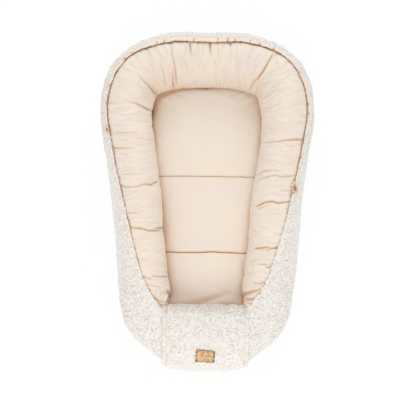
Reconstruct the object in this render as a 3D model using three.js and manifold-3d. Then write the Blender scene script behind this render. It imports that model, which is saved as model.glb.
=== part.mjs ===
// An infant lounger: a long soft roll bent into a nest round a quilted pad, its two ends held in a foot sleeve.
// Millimetres, +Z up. The origin is the middle of the footprint on the floor, the head end points to +Y.
import * as THREE from "three";
import { mergeVertices } from "three/addons/utils/BufferGeometryUtils.js";
import Module from "manifold-3d";

// The nest's plan: half sizes of the roll's centre line, and the roll's girth.
const RING_HALF_WIDTH = 200.8;
const RING_HALF_LENGTH = 376;
const ROLL_RADIUS = 73; // half the roll's width where it is fullest, at the head
const ROLL_HEIGHT_RATIO = 1.02; // the roll's height over its width, before its bed flattens it
const ROLL_SINK_SHARE = 0.92; // the roll's middle stands this share of its radius above its flat bed

// Cloth and filling.
const COTTON = 1.5;
const COTTON_FINE = 1;
const WALL_PILE = 4; // how far the curly pile stands proud of the cotton
const FILL_GAP = 0.5;
const SEAM_GAP = 0.4; // between pieces sewn together
const BASE_PANEL = 6; // the curly underside panel
const BASE_WADDING = 3;
const LAYER_GAP = 0.3;
const BED_CLEARANCE = 1; // between the bed's layers and the sleeve that passes them

// The drawn rim casing and the elastic in it.
const CASING_WIDTH = 12;
const CASING_DEPTH = 7;
const CASING_STAND = 2; // how far its middle stands out of the roll's surface
const ELASTIC_DIAMETER = 3;
const CASING_BORE = 4;

// The pad.
const PAD_EQUATOR = 26; // height of its side seam above the floor
const PAD_CROWN = 22; // how far a full section rises over the side seam
const PAD_CHANNEL = 10; // what is left of that at a sewn channel
const PAD_TUCK = 9; // how far its side runs in under the roll
const PAD_FOOT_ROUND = 26; // radius of its two foot corners in plan
const PAD_END_ROUND = 14; // radius of its lower ends
const CHANNEL_HEAD = 60; // places of the two sewn channels, from the origin
const CHANNEL_FOOT = -146.5;
const THREAD = 1.6;
const CHANNEL_EASE = 0.9; // the thread's rise over the bottom of its channel

// The foot sleeve, its label and hems.
const SLEEVE_WIDTH = 197;
const SLEEVE_LINING = 1.2;
const SLEEVE_PILE = 6;
const SLEEVE_EASE = 0.6;
const HEM_INSET = 9;
const HEM_EASE = 0.7; // between a hem's thread and the cloth under it
const LABEL_WIDTH = 43;
const LABEL_HEIGHT = 33;
const LABEL_THICKNESS = 1.6;
const LABEL_STITCH = 7;
const LABEL_STITCH_WIDTH = 1.8;
const LABEL_STITCH_INSET = 3;

// The zip in the underside, through which the filling goes in.
const ZIP_LENGTH = 170;
const ZIP_PLACE = 170; // from the origin towards the head
const ZIP_TAPE_WIDTH = 7;
const ZIP_TAPE = 0.5;
const ZIP_TAPE_FLOOR = 4; // underside of the tapes above the floor
const TOOTH_PITCH = 5;
const TOOTH_WIDTH = 2.8;
const TOOTH_REACH = 1.5;
const TOOTH_SPINE = 1;
const TOOTH_HEIGHT = 1.6;
const ZIP_CLEARANCE = 0.3;
const ZIP_WEDGE = 1.2; // the slider's wedge between the two rows of teeth
const SLIDER_LENGTH = 12;
const SLIDER_WIDTH = 8.4;
const SLIDER_PLATE = 0.6;
const SLIDER_RISE = 2.2; // inner height between its two plates
const BAIL_SPAN = 5;
const BAIL_WIDTH = 2.4;
const BAIL_BAR = 0.6;
const PULL_LENGTH = 20;
const PULL_WIDTH = 7;
const PULL_THICKNESS = 0.8;
const PULL_EYE = 3; // length of the window in the pull
const STOP_LENGTH = 3;

// Places on the roll run from 0 at the foot, over 11 at the head, and back to 22 at the foot.
// Each row: across and along as shares of the half sizes, radius as a share, seam angle in degrees
// from the outward horizontal. The left half mirrors the right one.
const ringShares = [
  { across: 0, along: -1, girth: 0.877, seam: 116 },
  { across: 0.249, along: -0.9973, girth: 0.877, seam: 116 },
  { across: 0.458, along: -0.968, girth: 0.836, seam: 116 },
  { across: 0.6375, along: -0.8564, girth: 0.815, seam: 108 },
  { across: 0.7196, along: -0.6543, girth: 0.808, seam: 88 },
  { across: 0.7819, along: -0.4149, girth: 0.808, seam: 73 },
  { across: 0.8431, along: -0.063, girth: 0.822, seam: 53 },
  { across: 0.9387, along: 0.3066, girth: 0.849, seam: 41 },
  { across: 1, along: 0.6144, girth: 0.925, seam: 43 },
  { across: 0.8865, along: 0.8431, girth: 0.993, seam: 63 },
  { across: 0.488, along: 0.9734, girth: 1, seam: 77 },
  { across: 0, along: 1, girth: 0.973, seam: 82 },
];
const PLACES = 2 * (ringShares.length - 1);

// The roll's main folds: place on the ring, and depth as a share of the deepest.
const FOLD_DEPTH = 7;
const foldReachShare = 0.13;
const foldShares = [
  [3.6, 0.55], [4.4, 0.5], [4.87, 0.85], [5.73, 0.7], [6.27, 0.7], [7.03, 0.7], [9.4, 1],
  [11.4, 0.5], [11.87, 0.95], [12.95, 0.7], [13.7, 0.7], [16, 0.85], [16.72, 0.85], [18.05, 0.85],
];
const plainShares = [2.4, 2.75, 3.15, 4, 5.3, 6.65, 7.5, 8, 8.5, 9, 9.85, 10.3, 10.75, 11.1, 11.63, 12.4, 13.35,
  14.15, 15.15, 15.6, 16.36, 17.1, 17.55, 18.6, 19];
const casingShares = { start: 6, end: 14.65 }; // places of the right-hand and the left-hand pucker
const PILE_FADE = 30; // degrees past the seam in which the sleeve comes down from the pile to the cotton
const FOOT_SPREAD_LENGTH = 56; // length past the sleeve in which the sections turn square to the line again
const FOOT_LEAN = 1.16; // the most that a slanting section is widened

// Section angles in degrees, from the outward horizontal over the top to the inner side.
const LINING_END = 236;
const WALL_START = -54;
const LINING_STEPS = 7;
const WALL_STEPS = 6;
const BED_STEPS = 2;

const bedTop = BASE_PANEL + LAYER_GAP + BASE_WADDING + LAYER_GAP + COTTON_FINE;
const rollFloor = bedTop + LAYER_GAP;
const rad = THREE.MathUtils.degToRad;

const cotton = { color: 0xecdcc9, roughness: 0.75, metalness: 0 };
const teddy = { color: 0xf0ece6, roughness: 1, metalness: 0 };
const fibre = { color: 0xf7f5f1, roughness: 1, metalness: 0 };
const thread = { color: 0xb08a63, roughness: 0.8, metalness: 0 };
const cork = { color: 0xc99b57, roughness: 0.7, metalness: 0 };
const darkThread = { color: 0x6d4a2c, roughness: 0.8, metalness: 0 };
const nickel = { color: 0xb9b4ab, roughness: 0.35, metalness: 0.9 };
const tape = { color: 0xe3d6c4, roughness: 0.9, metalness: 0 };

const lounger = new THREE.Group();

function place(name, geometry, finish) {
  const mesh = new THREE.Mesh(geometry, new THREE.MeshStandardMaterial(finish));
  mesh.name = name;
  lounger.add(mesh);
  return mesh;
}

// Two closed curves share one parameter: the centre line, and the roll's radius with its seam angle.
const half = ringShares.map((row) => ({
  point: new THREE.Vector3(row.across * RING_HALF_WIDTH, row.along * RING_HALF_LENGTH, 0),
  shape: new THREE.Vector3(row.girth * ROLL_RADIUS, row.seam, 0),
}));
const mirrored = half.slice(1, -1).reverse();
const centreLine = new THREE.CatmullRomCurve3(
  [...half.map((h) => h.point), ...mirrored.map((h) => new THREE.Vector3(-h.point.x, h.point.y, 0))],
  true,
  "centripetal",
);
const shapeLine = new THREE.CatmullRomCurve3(
  [...half.map((h) => h.shape), ...mirrored.map((h) => h.shape)],
  true,
  "catmullrom",
);

// How deep the folds draw the roll in at a place, before the section's own share.
function foldAt(where) {
  let depth = 0;
  for (const [at, share] of foldShares) {
    const away = Math.abs(where - at) / foldReachShare;
    if (away < 1) depth += FOLD_DEPTH * share * (1 - away);
  }
  return depth;
}

// The roll's section at a place on the ring: its middle, the outward direction, radii and seam.
// In the sleeve the sections stand straight across, and the roll is pressed flat on the inner side.
const acrossFoot = new THREE.Vector3(0, -1, 0);
const flatInner = -RING_HALF_LENGTH + ringShares[0].girth * ROLL_RADIUS;
function sectionAt(where) {
  const share = (((where % PLACES) + PLACES) % PLACES) / PLACES;
  const middle = centreLine.getPoint(share);
  const ahead = centreLine.getTangent(share);
  const shape = shapeLine.getPoint(share);
  const square = new THREE.Vector3(ahead.y, -ahead.x, 0).normalize();
  const past = Math.max(0, Math.abs(middle.x) - SLEEVE_WIDTH / 2);
  const straight = middle.y > 0 ? 0 : Math.max(0, 1 - past / FOOT_SPREAD_LENGTH);
  const outward = square.clone().lerp(acrossFoot, straight).normalize();
  const lean = Math.min(FOOT_LEAN, 1 / outward.dot(square));
  return {
    middle,
    outward,
    lean,
    inner: THREE.MathUtils.lerp(lean, (flatInner - middle.y) / shape.x, straight),
    radius: shape.x,
    seam: shape.y,
    fold: foldAt(where),
  };
}

// Folds are deepest over the top and the inner side, and fade towards the seam and the bed.
function foldShareAt(section, angle) {
  if (angle <= section.seam) return 0;
  const along = (angle - section.seam) / (LINING_END - section.seam);
  return along >= 1 ? 0 : Math.min(1, 0.45 + 2 * along) * Math.min(1, 4 * (1 - along));
}

// A point on the roll's skin, pushed out by a distance, never below a floor.
function skinPoint(section, angle, out, floor) {
  const drawn = section.radius - section.fold * foldShareAt(section, angle);
  const rise = section.radius * (ROLL_HEIGHT_RATIO - 1);
  const turn = rad(angle);
  const stretch = Math.cos(turn) > 0 ? section.lean : section.inner;
  const reach = (drawn * stretch + out * section.lean) * Math.cos(turn);
  const point = section.middle.clone().addScaledVector(section.outward, reach);
  const middleHeight = rollFloor + ROLL_SINK_SHARE * (section.radius + rise);
  point.z = Math.max(floor, middleHeight + (drawn + out + rise) * Math.sin(turn));
  return point;
}

// Angle that a length of cloth covers on the roll.
const spread = (section, length) => THREE.MathUtils.radToDeg(length / section.radius);
function hasCasing(where) {
  return where > casingShares.start - foldReachShare / 2 && where < casingShares.end + foldReachShare / 2;
}

function liningAngles(section) {
  const first = section.seam + spread(section, SEAM_GAP) / 2;
  return Array.from({ length: LINING_STEPS + 1 }, (_, i) => first + (i / LINING_STEPS) * (LINING_END - first));
}

function wallAngles(section, where) {
  const down = hasCasing(where) ? CASING_WIDTH + 2 * SEAM_GAP : SEAM_GAP / 2;
  const last = section.seam - spread(section, down);
  return Array.from({ length: WALL_STEPS + 1 }, (_, i) => WALL_START + (i / WALL_STEPS) * (last - WALL_START));
}

// All the way round: cotton, bed, then wall.
function ringAngles(section, where) {
  const bed = [];
  for (let i = 1; i < BED_STEPS; i++) bed.push(LINING_END + (i / BED_STEPS) * (360 + WALL_START - LINING_END));
  return [...liningAngles(section), ...bed, ...wallAngles(section, where).map((a) => a + 360)];
}

// Joins rows of points, each row a loop, into one closed skin. The two ends are capped by a fan,
// or the rows close on themselves where they run out along an outer skin and back along an inner one.
// Skins that lie on each other split their quads the same way, so the way back splits them the other way.
function weave(rows, thereAndBack = false) {
  const across = rows[0].length;
  const index = [];
  const rowCount = thereAndBack ? rows.length : rows.length - 1;
  for (let i = 0; i < rowCount; i++) {
    const here = i * across;
    const next = ((i + 1) % rows.length) * across;
    const back = thereAndBack && i >= rows.length / 2;
    for (let j = 0; j < across; j++) {
      const k = (j + 1) % across;
      if (back) index.push(here + j, here + k, next + j, here + k, next + k, next + j);
      else index.push(here + j, here + k, next + k, here + j, next + k, next + j);
    }
  }
  if (!thereAndBack) {
    for (let j = 1; j < across - 1; j++) index.push(0, j + 1, j);
    const last = (rows.length - 1) * across;
    for (let j = 1; j < across - 1; j++) index.push(last, last + j, last + j + 1);
  }
  return skinOf(rows, index);
}

function skinOf(rows, index) {
  const geometry = new THREE.BufferGeometry();
  const positions = rows.flat().flatMap((p) => [p.x, p.y, p.z]);
  geometry.setAttribute("position", new THREE.Float32BufferAttribute(positions, 3));
  geometry.setIndex(index);
  return outward(geometry);
}

// Turns a closed skin so that its faces point out.
function outward(geometry) {
  const at = geometry.attributes.position;
  const index = geometry.index.array;
  const [a, b, c] = [new THREE.Vector3(), new THREE.Vector3(), new THREE.Vector3()];
  let volume = 0;
  for (let i = 0; i < index.length; i += 3) {
    a.fromBufferAttribute(at, index[i]);
    b.fromBufferAttribute(at, index[i + 1]);
    c.fromBufferAttribute(at, index[i + 2]);
    volume += a.dot(b.cross(c));
  }
  if (volume < 0) for (let i = 0; i < index.length; i += 3) [index[i], index[i + 2]] = [index[i + 2], index[i]];
  return geometry;
}

// A strip of cloth between rows of outer points and rows of inner points. Its end faces are closed
// quad by quad, because they bend.
function weaveCloth(outerRows, innerRows) {
  const across = outerRows[0].length;
  const rows = outerRows.map((row, i) => [...row, ...innerRows[i].slice().reverse()]);
  const width = 2 * across;
  const index = [];
  for (let i = 0; i < rows.length - 1; i++) {
    for (let j = 0; j < width; j++) {
      const k = (j + 1) % width;
      const [p, q] = [i * width, (i + 1) * width];
      if (j < across) index.push(p + j, p + k, q + k, p + j, q + k, q + j);
      else index.push(p + j, p + k, q + j, p + k, q + k, q + j);
    }
  }
  for (const [base, last] of [[0, false], [(rows.length - 1) * width, true]]) {
    for (let j = 0; j < across - 1; j++) {
      const [a, b, c, d] = [base + j, base + j + 1, base + width - 2 - j, base + width - 1 - j];
      if (last) index.push(a, b, c, a, c, d);
      else index.push(a, c, b, a, d, c);
    }
  }
  return skinOf(rows, index);
}

// The place on the ring, right of the foot, whose middle lies this far across.
function placeAcross(distance) {
  let low = 0;
  let high = 3;
  for (let i = 0; i < 40; i++) {
    const middle = (low + high) / 2;
    if (sectionAt(middle).middle.x < distance) low = middle;
    else high = middle;
  }
  return low;
}
const END_GAP = 3; // half the groove between the roll's two ends
const END_CLOTH = 1.5;
const endOuter = placeAcross(END_GAP);
const endInner = placeAcross(END_GAP + END_CLOTH);
const rollStart = placeAcross(END_GAP + END_CLOTH + SEAM_GAP);
const sleeveEdge = placeAcross(SLEEVE_WIDTH / 2);
const hemPlace = placeAcross(SLEEVE_WIDTH / 2 - HEM_INSET);
const sleeveSteps = [0.28, 0.56].map((share) => rollStart + share * (hemPlace - rollStart));

const rollPlaces = (() => {
  const near = [rollStart, ...sleeveSteps, hemPlace, sleeveEdge];
  const places = [...near, ...near.map((p) => PLACES - p), ...plainShares, casingShares.start, casingShares.end];
  for (const [at] of foldShares) places.push(at - foldReachShare, at, at + foldReachShare);
  return places.sort((a, b) => a - b);
})();
const rollSections = rollPlaces.map((where) => ({ where, ...sectionAt(where) }));

// The soft roll: filling, cotton lining over it, curly wall outside, and a cloth end on each end.
function rollFilling() {
  const inset = -(COTTON + FILL_GAP);
  const rows = rollSections.map((s) => ringAngles(s, s.where).map((a) => skinPoint(s, a, inset, rollFloor)));
  return weave(rows);
}

function rollLining() {
  const row = (out) => rollSections.map((s) => liningAngles(s).map((a) => skinPoint(s, a, out, rollFloor)));
  return weaveCloth(row(0), row(-COTTON));
}

function outerWall() {
  const row = (out) => rollSections.map((s) => wallAngles(s, s.where).map((a) => skinPoint(s, a, out, rollFloor)));
  return weaveCloth(row(WALL_PILE), row(-COTTON));
}

function rollEnd(side) {
  const rows = [endOuter, endInner].map((p) => {
    const where = side > 0 ? p : PLACES - p;
    const s = sectionAt(where);
    return ringAngles(s, where).map((a) => skinPoint(s, a, 0, rollFloor));
  });
  return weave(rows);
}

// The drawn casing: a flattened tube with a bore, lying along the rim seam round the head.
const casingSections = rollSections.filter((s) => s.where >= casingShares.start && s.where <= casingShares.end);
function casingMiddle(s) {
  const angle = s.seam - spread(s, CASING_WIDTH / 2 + SEAM_GAP);
  const turn = rad(angle);
  const out = s.outward.clone().multiplyScalar(Math.cos(turn)).add(new THREE.Vector3(0, 0, Math.sin(turn)));
  const side = s.outward.clone().multiplyScalar(-Math.sin(turn)).add(new THREE.Vector3(0, 0, Math.cos(turn)));
  return { point: skinPoint(s, angle, CASING_STAND, rollFloor), out, side };
}
function casingRow(s, width, depth, steps) {
  const { point, out, side } = casingMiddle(s);
  return Array.from({ length: steps }, (_, i) => {
    const turn = (i / steps) * 2 * Math.PI;
    return point.clone()
      .addScaledVector(side, (width / 2) * Math.cos(turn))
      .addScaledVector(out, (depth / 2) * Math.sin(turn));
  });
}
function rimCasing() {
  const steps = 6;
  const outer = casingSections.map((s) => casingRow(s, CASING_WIDTH, CASING_DEPTH, steps));
  const bore = casingSections.map((s) => casingRow(s, CASING_BORE, CASING_BORE, steps));
  return weave([...outer, ...bore.reverse()], true);
}
function rimElastic() {
  return weave(casingSections.map((s) => casingRow(s, ELASTIC_DIAMETER, ELASTIC_DIAMETER, 8)));
}

place("roll_filling", rollFilling(), fibre);
place("roll_lining", rollLining(), cotton);
place("outer_wall", outerWall(), teddy);
place("roll_end_right", rollEnd(1), cotton);
place("roll_end_left", rollEnd(-1), cotton);
place("rim_casing", rimCasing(), cotton);
place("rim_elastic", rimElastic(), fibre);

// The foot sleeve goes once round both roll ends. Its inside hugs the wall's pile outside and the
// cotton inside, so it is given by the same angles as the roll.
const sleevePlaces = [sleeveEdge, hemPlace, ...[...sleeveSteps].reverse(), rollStart];
const sleeveSections = [...sleevePlaces.map((p) => PLACES - p), ...[...sleevePlaces].reverse()]
  .map((where) => ({ where, ...sectionAt(where) }));
function sleeveRow(s, out, floor) {
  return ringAngles(s, s.where).map((a) => skinPoint(s, a, sleeveStand(s, a) + out, floor));
}
// The sleeve stands on the wall's pile outside, and lies on the bare cotton past the seam.
function sleeveStand(s, angle) {
  const inside = Math.min(1, Math.max(0, (Math.min(angle, LINING_END) - s.seam) / PILE_FADE));
  return SLEEVE_EASE + WALL_PILE * (angle > LINING_END ? 1 : 1 - inside);
}
const sleeveFloors = {
  inner: rollFloor - LAYER_GAP,
  mid: rollFloor - LAYER_GAP - SLEEVE_LINING,
  cloth: rollFloor - 2 * LAYER_GAP - SLEEVE_LINING,
};
// A band of cloth round the roll, between an inner and an outer skin.
function band(innerRow, outerRow) {
  const outer = sleeveSections.map(outerRow);
  const inner = sleeveSections.map(innerRow);
  return weave([...outer, ...inner.reverse()], true);
}
const sleeveTeddyIn = SLEEVE_LINING + LAYER_GAP;
place(
  "foot_sleeve_lining",
  band((s) => sleeveRow(s, 0, sleeveFloors.inner), (s) => sleeveRow(s, SLEEVE_LINING, sleeveFloors.mid)),
  cotton,
);
place(
  "foot_sleeve",
  band((s) => sleeveRow(s, sleeveTeddyIn, sleeveFloors.cloth), (s) => sleeveRow(s, sleeveTeddyIn + SLEEVE_PILE, 0)),
  teddy,
);

// A hem's stitching: a thread over the sleeve, from its front foot over the top and down inside.
const sleeveCloth = sleeveTeddyIn + SLEEVE_PILE;
const sleeveFace = SLEEVE_EASE + WALL_PILE + sleeveCloth;
const hemAngles = { front: -40, back: 195, steps: 20 };
function sleeveSurface(where, angle, out) {
  const s = sectionAt(where);
  return skinPoint(s, angle, sleeveStand(s, angle) + sleeveCloth + out, 0);
}
function threadAlong(points) {
  const path = new THREE.CatmullRomCurve3(points);
  const section = new THREE.Shape().absarc(0, 0, THREAD / 2, 0, 2 * Math.PI);
  return new THREE.ExtrudeGeometry(section, { steps: points.length - 1, extrudePath: path, curveSegments: 3 });
}
function hemThread(where) {
  const points = Array.from({ length: hemAngles.steps + 1 }, (_, i) => {
    const angle = hemAngles.front + (i / hemAngles.steps) * (hemAngles.back - hemAngles.front);
    return sleeveSurface(where, angle, THREAD / 2 + HEM_EASE);
  });
  return threadAlong(points);
}
place("hem_stitching_right", hemThread(hemPlace), thread);
place("hem_stitching_left", hemThread(PLACES - hemPlace), thread);

// The label is a bare patch sewn on the front of the sleeve.
const LABEL_ANGLE = 39.5; // how far up the front its middle sits, in degrees
const labelSection = sectionAt(0);
const labelReach = labelSection.radius + sleeveFace;
function labelPoint(across, up, out) {
  const where = placeAcross(Math.abs(across));
  const angle = LABEL_ANGLE + THREE.MathUtils.radToDeg(up / labelReach);
  const point = sleeveSurface(where, angle, out);
  point.x *= Math.sign(across) || 0;
  return point;
}
const labelSteps = 4;
const stepShares = Array.from({ length: labelSteps + 1 }, (_, i) => i / labelSteps - 0.5);
function labelPatch() {
  const rows = (out) => stepShares.map((a) => stepShares.map((u) => labelPoint(a * LABEL_WIDTH, u * LABEL_HEIGHT, out)));
  return weaveCloth(rows(LAYER_GAP + LABEL_THICKNESS), rows(LAYER_GAP));
}
place("label", labelPatch(), cork);
function labelStitch(side, up) {
  const edge = side * (LABEL_WIDTH / 2 - LABEL_STITCH_INSET);
  const out = 2 * LAYER_GAP + LABEL_THICKNESS + LABEL_STITCH_WIDTH / 4;
  const middle = labelPoint(edge, up, out);
  const above = labelPoint(edge, up + LABEL_STITCH / 2, out);
  const stitch = new THREE.BoxGeometry(LABEL_STITCH_WIDTH, LABEL_STITCH_WIDTH / 2, LABEL_STITCH);
  stitch.rotateX(-Math.atan2(above.y - middle.y, above.z - middle.z));
  return stitch.translate(middle.x, middle.y, middle.z);
}
const stitchShares = { top: 0.33, middle: 0, bottom: -0.33 };
for (const [side, sideName] of [[-1, "left"], [1, "right"]]) {
  for (const [level, share] of Object.entries(stitchShares)) {
    place("label_stitch_" + sideName + "_" + level, labelStitch(side, share * LABEL_HEIGHT), darkThread);
  }
}

// The bed: underside panel, wadding and floor lining, cut away at the foot where the sleeve passes.
const rimInset = Math.cos(rad(WALL_START));
function sleeveInside(height) {
  // How far into the nest the sleeve's outer face stands at a height.
  const s = sectionAt(0);
  const rise = s.radius * (ROLL_HEIGHT_RATIO - 1);
  const middleHeight = rollFloor + ROLL_SINK_SHARE * (s.radius + rise);
  const down = (middleHeight - height) / (s.radius + rise + sleeveFace);
  const reach = s.radius + sleeveFace * sectionAt(sleeveEdge).lean;
  return s.middle.y + reach * Math.sqrt(1 - down * down);
}
function bedOutline(grow) {
  const points = rollPlaces.filter((p) => p > sleeveEdge && p < PLACES - sleeveEdge).map((where) => {
    const s = sectionAt(where);
    return s.middle.clone().addScaledVector(s.outward, s.radius * s.lean * rimInset + grow);
  });
  const side = SLEEVE_WIDTH / 2 + SEAM_GAP;
  const front = sleeveInside(bedTop) + BED_CLEARANCE;
  const edge = sectionAt(sleeveEdge);
  const horn = edge.middle.y - edge.radius * edge.lean * rimInset;
  const start = [new THREE.Vector2(-side, horn), new THREE.Vector2(-side, front)];
  const end = [new THREE.Vector2(side, front), new THREE.Vector2(side, horn)];
  return [...start, ...end, ...points.map((p) => new THREE.Vector2(p.x, p.y))];
}
function bedLayer(bottom, thickness, grow, slot) {
  const shape = new THREE.Shape(bedOutline(grow));
  if (slot) shape.holes.push(slot);
  const layer = new THREE.ExtrudeGeometry(shape, { depth: thickness, bevelEnabled: false });
  return layer.translate(0, 0, bottom);
}
const chainGap = ZIP_WEDGE / 2 + ZIP_CLEARANCE;
const toothDepth = TOOTH_REACH + TOOTH_SPINE;
const tapeInner = chainGap + toothDepth + LAYER_GAP;
const slotHalf = tapeInner + ZIP_TAPE_WIDTH + LAYER_GAP;
const zipHalf = ZIP_LENGTH / 2;
const sliderAt = zipHalf - LAYER_GAP - SLIDER_LENGTH / 2; // at rest against the closed stop
const slotEnd = sliderAt + PULL_LENGTH + ZIP_CLEARANCE; // room for the pull turned outwards at either stop
function zipSlot() {
  const corners = [[-1, -1], [1, -1], [1, 1], [-1, 1]];
  const points = corners.map(([x, y]) => new THREE.Vector2(x * slotEnd, ZIP_PLACE + y * slotHalf));
  return new THREE.Path(points);
}
const bedEdge = 4; // the panel's turned-in edge stands this far past the roll's foot line
place("base_panel", bedLayer(0, BASE_PANEL, bedEdge, zipSlot()), teddy);
const waddingFloor = BASE_PANEL + LAYER_GAP;
place("base_wadding", bedLayer(waddingFloor, BASE_WADDING, 0), fibre);
const liningFloor = waddingFloor + BASE_WADDING + LAYER_GAP;
place("floor_lining", bedLayer(liningFloor, COTTON_FINE, 0), cotton);

// The pad: three crowned sections in one cover, drawn in at the side seam and at two channels.
const PLAN_STEPS = 240;
const padEdge = Array.from({ length: PLAN_STEPS + 1 }, (_, i) => {
  const s = sectionAt((i / PLAN_STEPS) * (PLACES / 2));
  return s.middle.clone().addScaledVector(s.outward, PAD_TUCK - s.radius * s.inner);
});
const padHead = padEdge[PLAN_STEPS].y;
const padFoot = sleeveInside(PAD_EQUATOR) + SEAM_GAP;
function padHalfWidth(along, inset) {
  const after = padEdge.findIndex((p) => p.y > along);
  if (after < 1) return PAD_TUCK - inset;
  const [a, b] = [padEdge[after - 1], padEdge[after]];
  const left = Math.max(0, Math.min(1, (along - padFoot) / PAD_FOOT_ROUND));
  const corner = PAD_FOOT_ROUND * (1 - Math.sqrt(1 - (1 - left) ** 2));
  return a.x + ((along - a.y) / (b.y - a.y)) * (b.x - a.x) - corner - inset;
}
const padSections = [
  { name: "foot", from: padFoot, to: CHANNEL_FOOT, drawnFrom: true, drawnTo: false },
  { name: "middle", from: CHANNEL_FOOT, to: CHANNEL_HEAD, drawnFrom: false, drawnTo: false },
  { name: "head", from: CHANNEL_HEAD, to: padHead, drawnFrom: false, drawnTo: true },
];
const crownShares = [-1, -0.93, -0.72, -0.3, 0.3, 0.72, 0.93, 1];
const edgeShares = [-1, -0.965, -0.85, -0.62, -0.3, 0.3, 0.62, 0.85, 0.965, 1];
const PAD_COLUMNS = 10;

// The share of the crown's height along a section, 0 at a drawn end and 1 in the middle.
function riseShare(section, share) {
  const end = share < 0 ? section.drawnFrom : section.drawnTo;
  const low = end ? 0 : PAD_CHANNEL / PAD_CROWN;
  return low + (1 - low) * Math.sqrt(Math.max(0, 1 - Math.abs(share) ** 4));
}
// A row across the pad at one place along it: side to side over the crown.
function padTopRow(along, crown, inset, lift) {
  const wide = padHalfWidth(along, inset);
  return Array.from({ length: PAD_COLUMNS + 1 }, (_, j) => {
    const turn = Math.PI * (j / PAD_COLUMNS);
    const across = wide * Math.sign(Math.cos(turn)) * Math.abs(Math.cos(turn)) ** 0.75;
    const height = Math.max(0, crown - inset) * Math.sin(turn) ** 0.7;
    return new THREE.Vector3(across, along, PAD_EQUATOR + lift + height);
  });
}
const padRows = padSections.flatMap((section, k) => {
  const shares = section.drawnFrom || section.drawnTo ? edgeShares : crownShares;
  const middle = (section.from + section.to) / 2;
  const reach = (section.to - section.from) / 2;
  const rows = shares.map((share) => ({
    section, share, along: middle + share * reach, crown: PAD_CROWN * riseShare(section, share),
  }));
  return k < padSections.length - 1 ? rows.slice(0, -1) : rows;
});
function shiftEnds(along, inset) {
  return Math.min(padHead - inset, Math.max(padFoot + inset, along));
}
function padTop() {
  const rows = (inset) => padRows.map((r) => padTopRow(shiftEnds(r.along, inset), r.crown, inset, LAYER_GAP / 2));
  return weaveCloth(rows(0), rows(COTTON));
}
// The lower cover: flat where it lies on the floor lining, drawn up to the side seam.
const padFloor = rollFloor;
function padBottomRow(along, depth, inset) {
  const wide = padHalfWidth(along, inset);
  return Array.from({ length: PAD_COLUMNS + 1 }, (_, j) => {
    const turn = Math.PI * (j / PAD_COLUMNS);
    const across = wide * Math.sign(Math.cos(turn)) * Math.abs(Math.cos(turn)) ** 0.5;
    const height = depth * Math.min(1, 1.25 * Math.sin(turn) ** 0.5);
    return new THREE.Vector3(across, along, PAD_EQUATOR - LAYER_GAP / 2 - height);
  });
}
function padDepth(along, inset) {
  const left = Math.max(0, Math.min(padHead - along, along - padFoot));
  const round = Math.sqrt(1 - Math.max(0, 1 - left / PAD_END_ROUND) ** 2);
  return Math.max(0, (PAD_EQUATOR - LAYER_GAP / 2 - padFloor) * round - inset);
}
function padBottom() {
  const ends = padRows.filter((r) => r.section.drawnFrom || r.section.drawnTo);
  const rows = (inset) => ends.map((r) => padBottomRow(shiftEnds(r.along, inset), padDepth(r.along, inset), inset));
  return weaveCloth(rows(0), rows(COTTON_FINE));
}
function padFilling(section) {
  const inset = 2 * (COTTON + FILL_GAP);
  const shares = (section.drawnFrom || section.drawnTo ? edgeShares : crownShares).slice(1, -1);
  const middle = (section.from + section.to) / 2;
  const reach = (section.to - section.from) / 2;
  const rows = shares.map((share) => {
    const along = shiftEnds(middle + share * reach, inset);
    const top = padTopRow(along, PAD_CROWN * riseShare(section, share), inset, 0);
    const depth = Math.max(COTTON, padDepth(along, COTTON_FINE + 2 * FILL_GAP));
    const narrow = 1 - depth / padHalfWidth(along, inset);
    const under = top.map((p) => new THREE.Vector3(p.x * narrow, p.y, PAD_EQUATOR - depth)).reverse();
    return [...top, ...under];
  });
  return weave(rows);
}
place("pad_cover_top", padTop(), cotton);
place("pad_cover_bottom", padBottom(), cotton);
for (const section of padSections) place("pad_filling_" + section.name, padFilling(section), fibre);

// The seam lines across the pad: a thread lying in each channel.
const seamShares = [-0.9, -0.75, -0.5, -0.25, 0, 0.25, 0.5, 0.75, 0.9];
function channelThread(along) {
  const row = padTopRow(along, PAD_CHANNEL, 0, LAYER_GAP / 2);
  const wide = padHalfWidth(along, 0);
  const points = seamShares.map((share) => {
    const across = share * wide;
    const j = row.findIndex((p) => p.x <= across);
    const [a, b] = [row[j - 1], row[j]];
    const height = a.z + ((across - a.x) / (b.x - a.x)) * (b.z - a.z);
    return new THREE.Vector3(across, along, height + THREAD / 2 + CHANNEL_EASE);
  });
  return threadAlong(points);
}
place("pad_stitching_head", channelThread(CHANNEL_HEAD), thread);
place("pad_stitching_foot", channelThread(CHANNEL_FOOT), thread);

// The zip: two tapes with a row of teeth each, two stops, a slider and its pull.
function box(width, length, height, x, y, z) {
  return new THREE.BoxGeometry(width, length, height).translate(x, y, z);
}
const chainMiddle = ZIP_TAPE_FLOOR + ZIP_TAPE / 2;
function teethRow(side) {
  const count = Math.floor((ZIP_LENGTH - 2 * LAYER_GAP) / TOOTH_PITCH);
  const length = count * TOOTH_PITCH;
  const points = [[-length / 2, toothDepth], [length / 2, toothDepth], [length / 2, TOOTH_REACH]];
  for (let i = count - 1; i >= 0; i--) {
    const start = -length / 2 + i * TOOTH_PITCH + (TOOTH_PITCH - TOOTH_WIDTH) / 2;
    points.push([start + TOOTH_WIDTH, TOOTH_REACH], [start + TOOTH_WIDTH, 0], [start, 0], [start, TOOTH_REACH]);
  }
  points.push([-length / 2, TOOTH_REACH]);
  const outline = points.map(([x, y]) => new THREE.Vector2(x, side * y));
  const row = new THREE.ExtrudeGeometry(new THREE.Shape(outline), { depth: TOOTH_HEIGHT, bevelEnabled: false });
  return row.translate(0, ZIP_PLACE + side * chainGap, chainMiddle - TOOTH_HEIGHT / 2);
}
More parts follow.
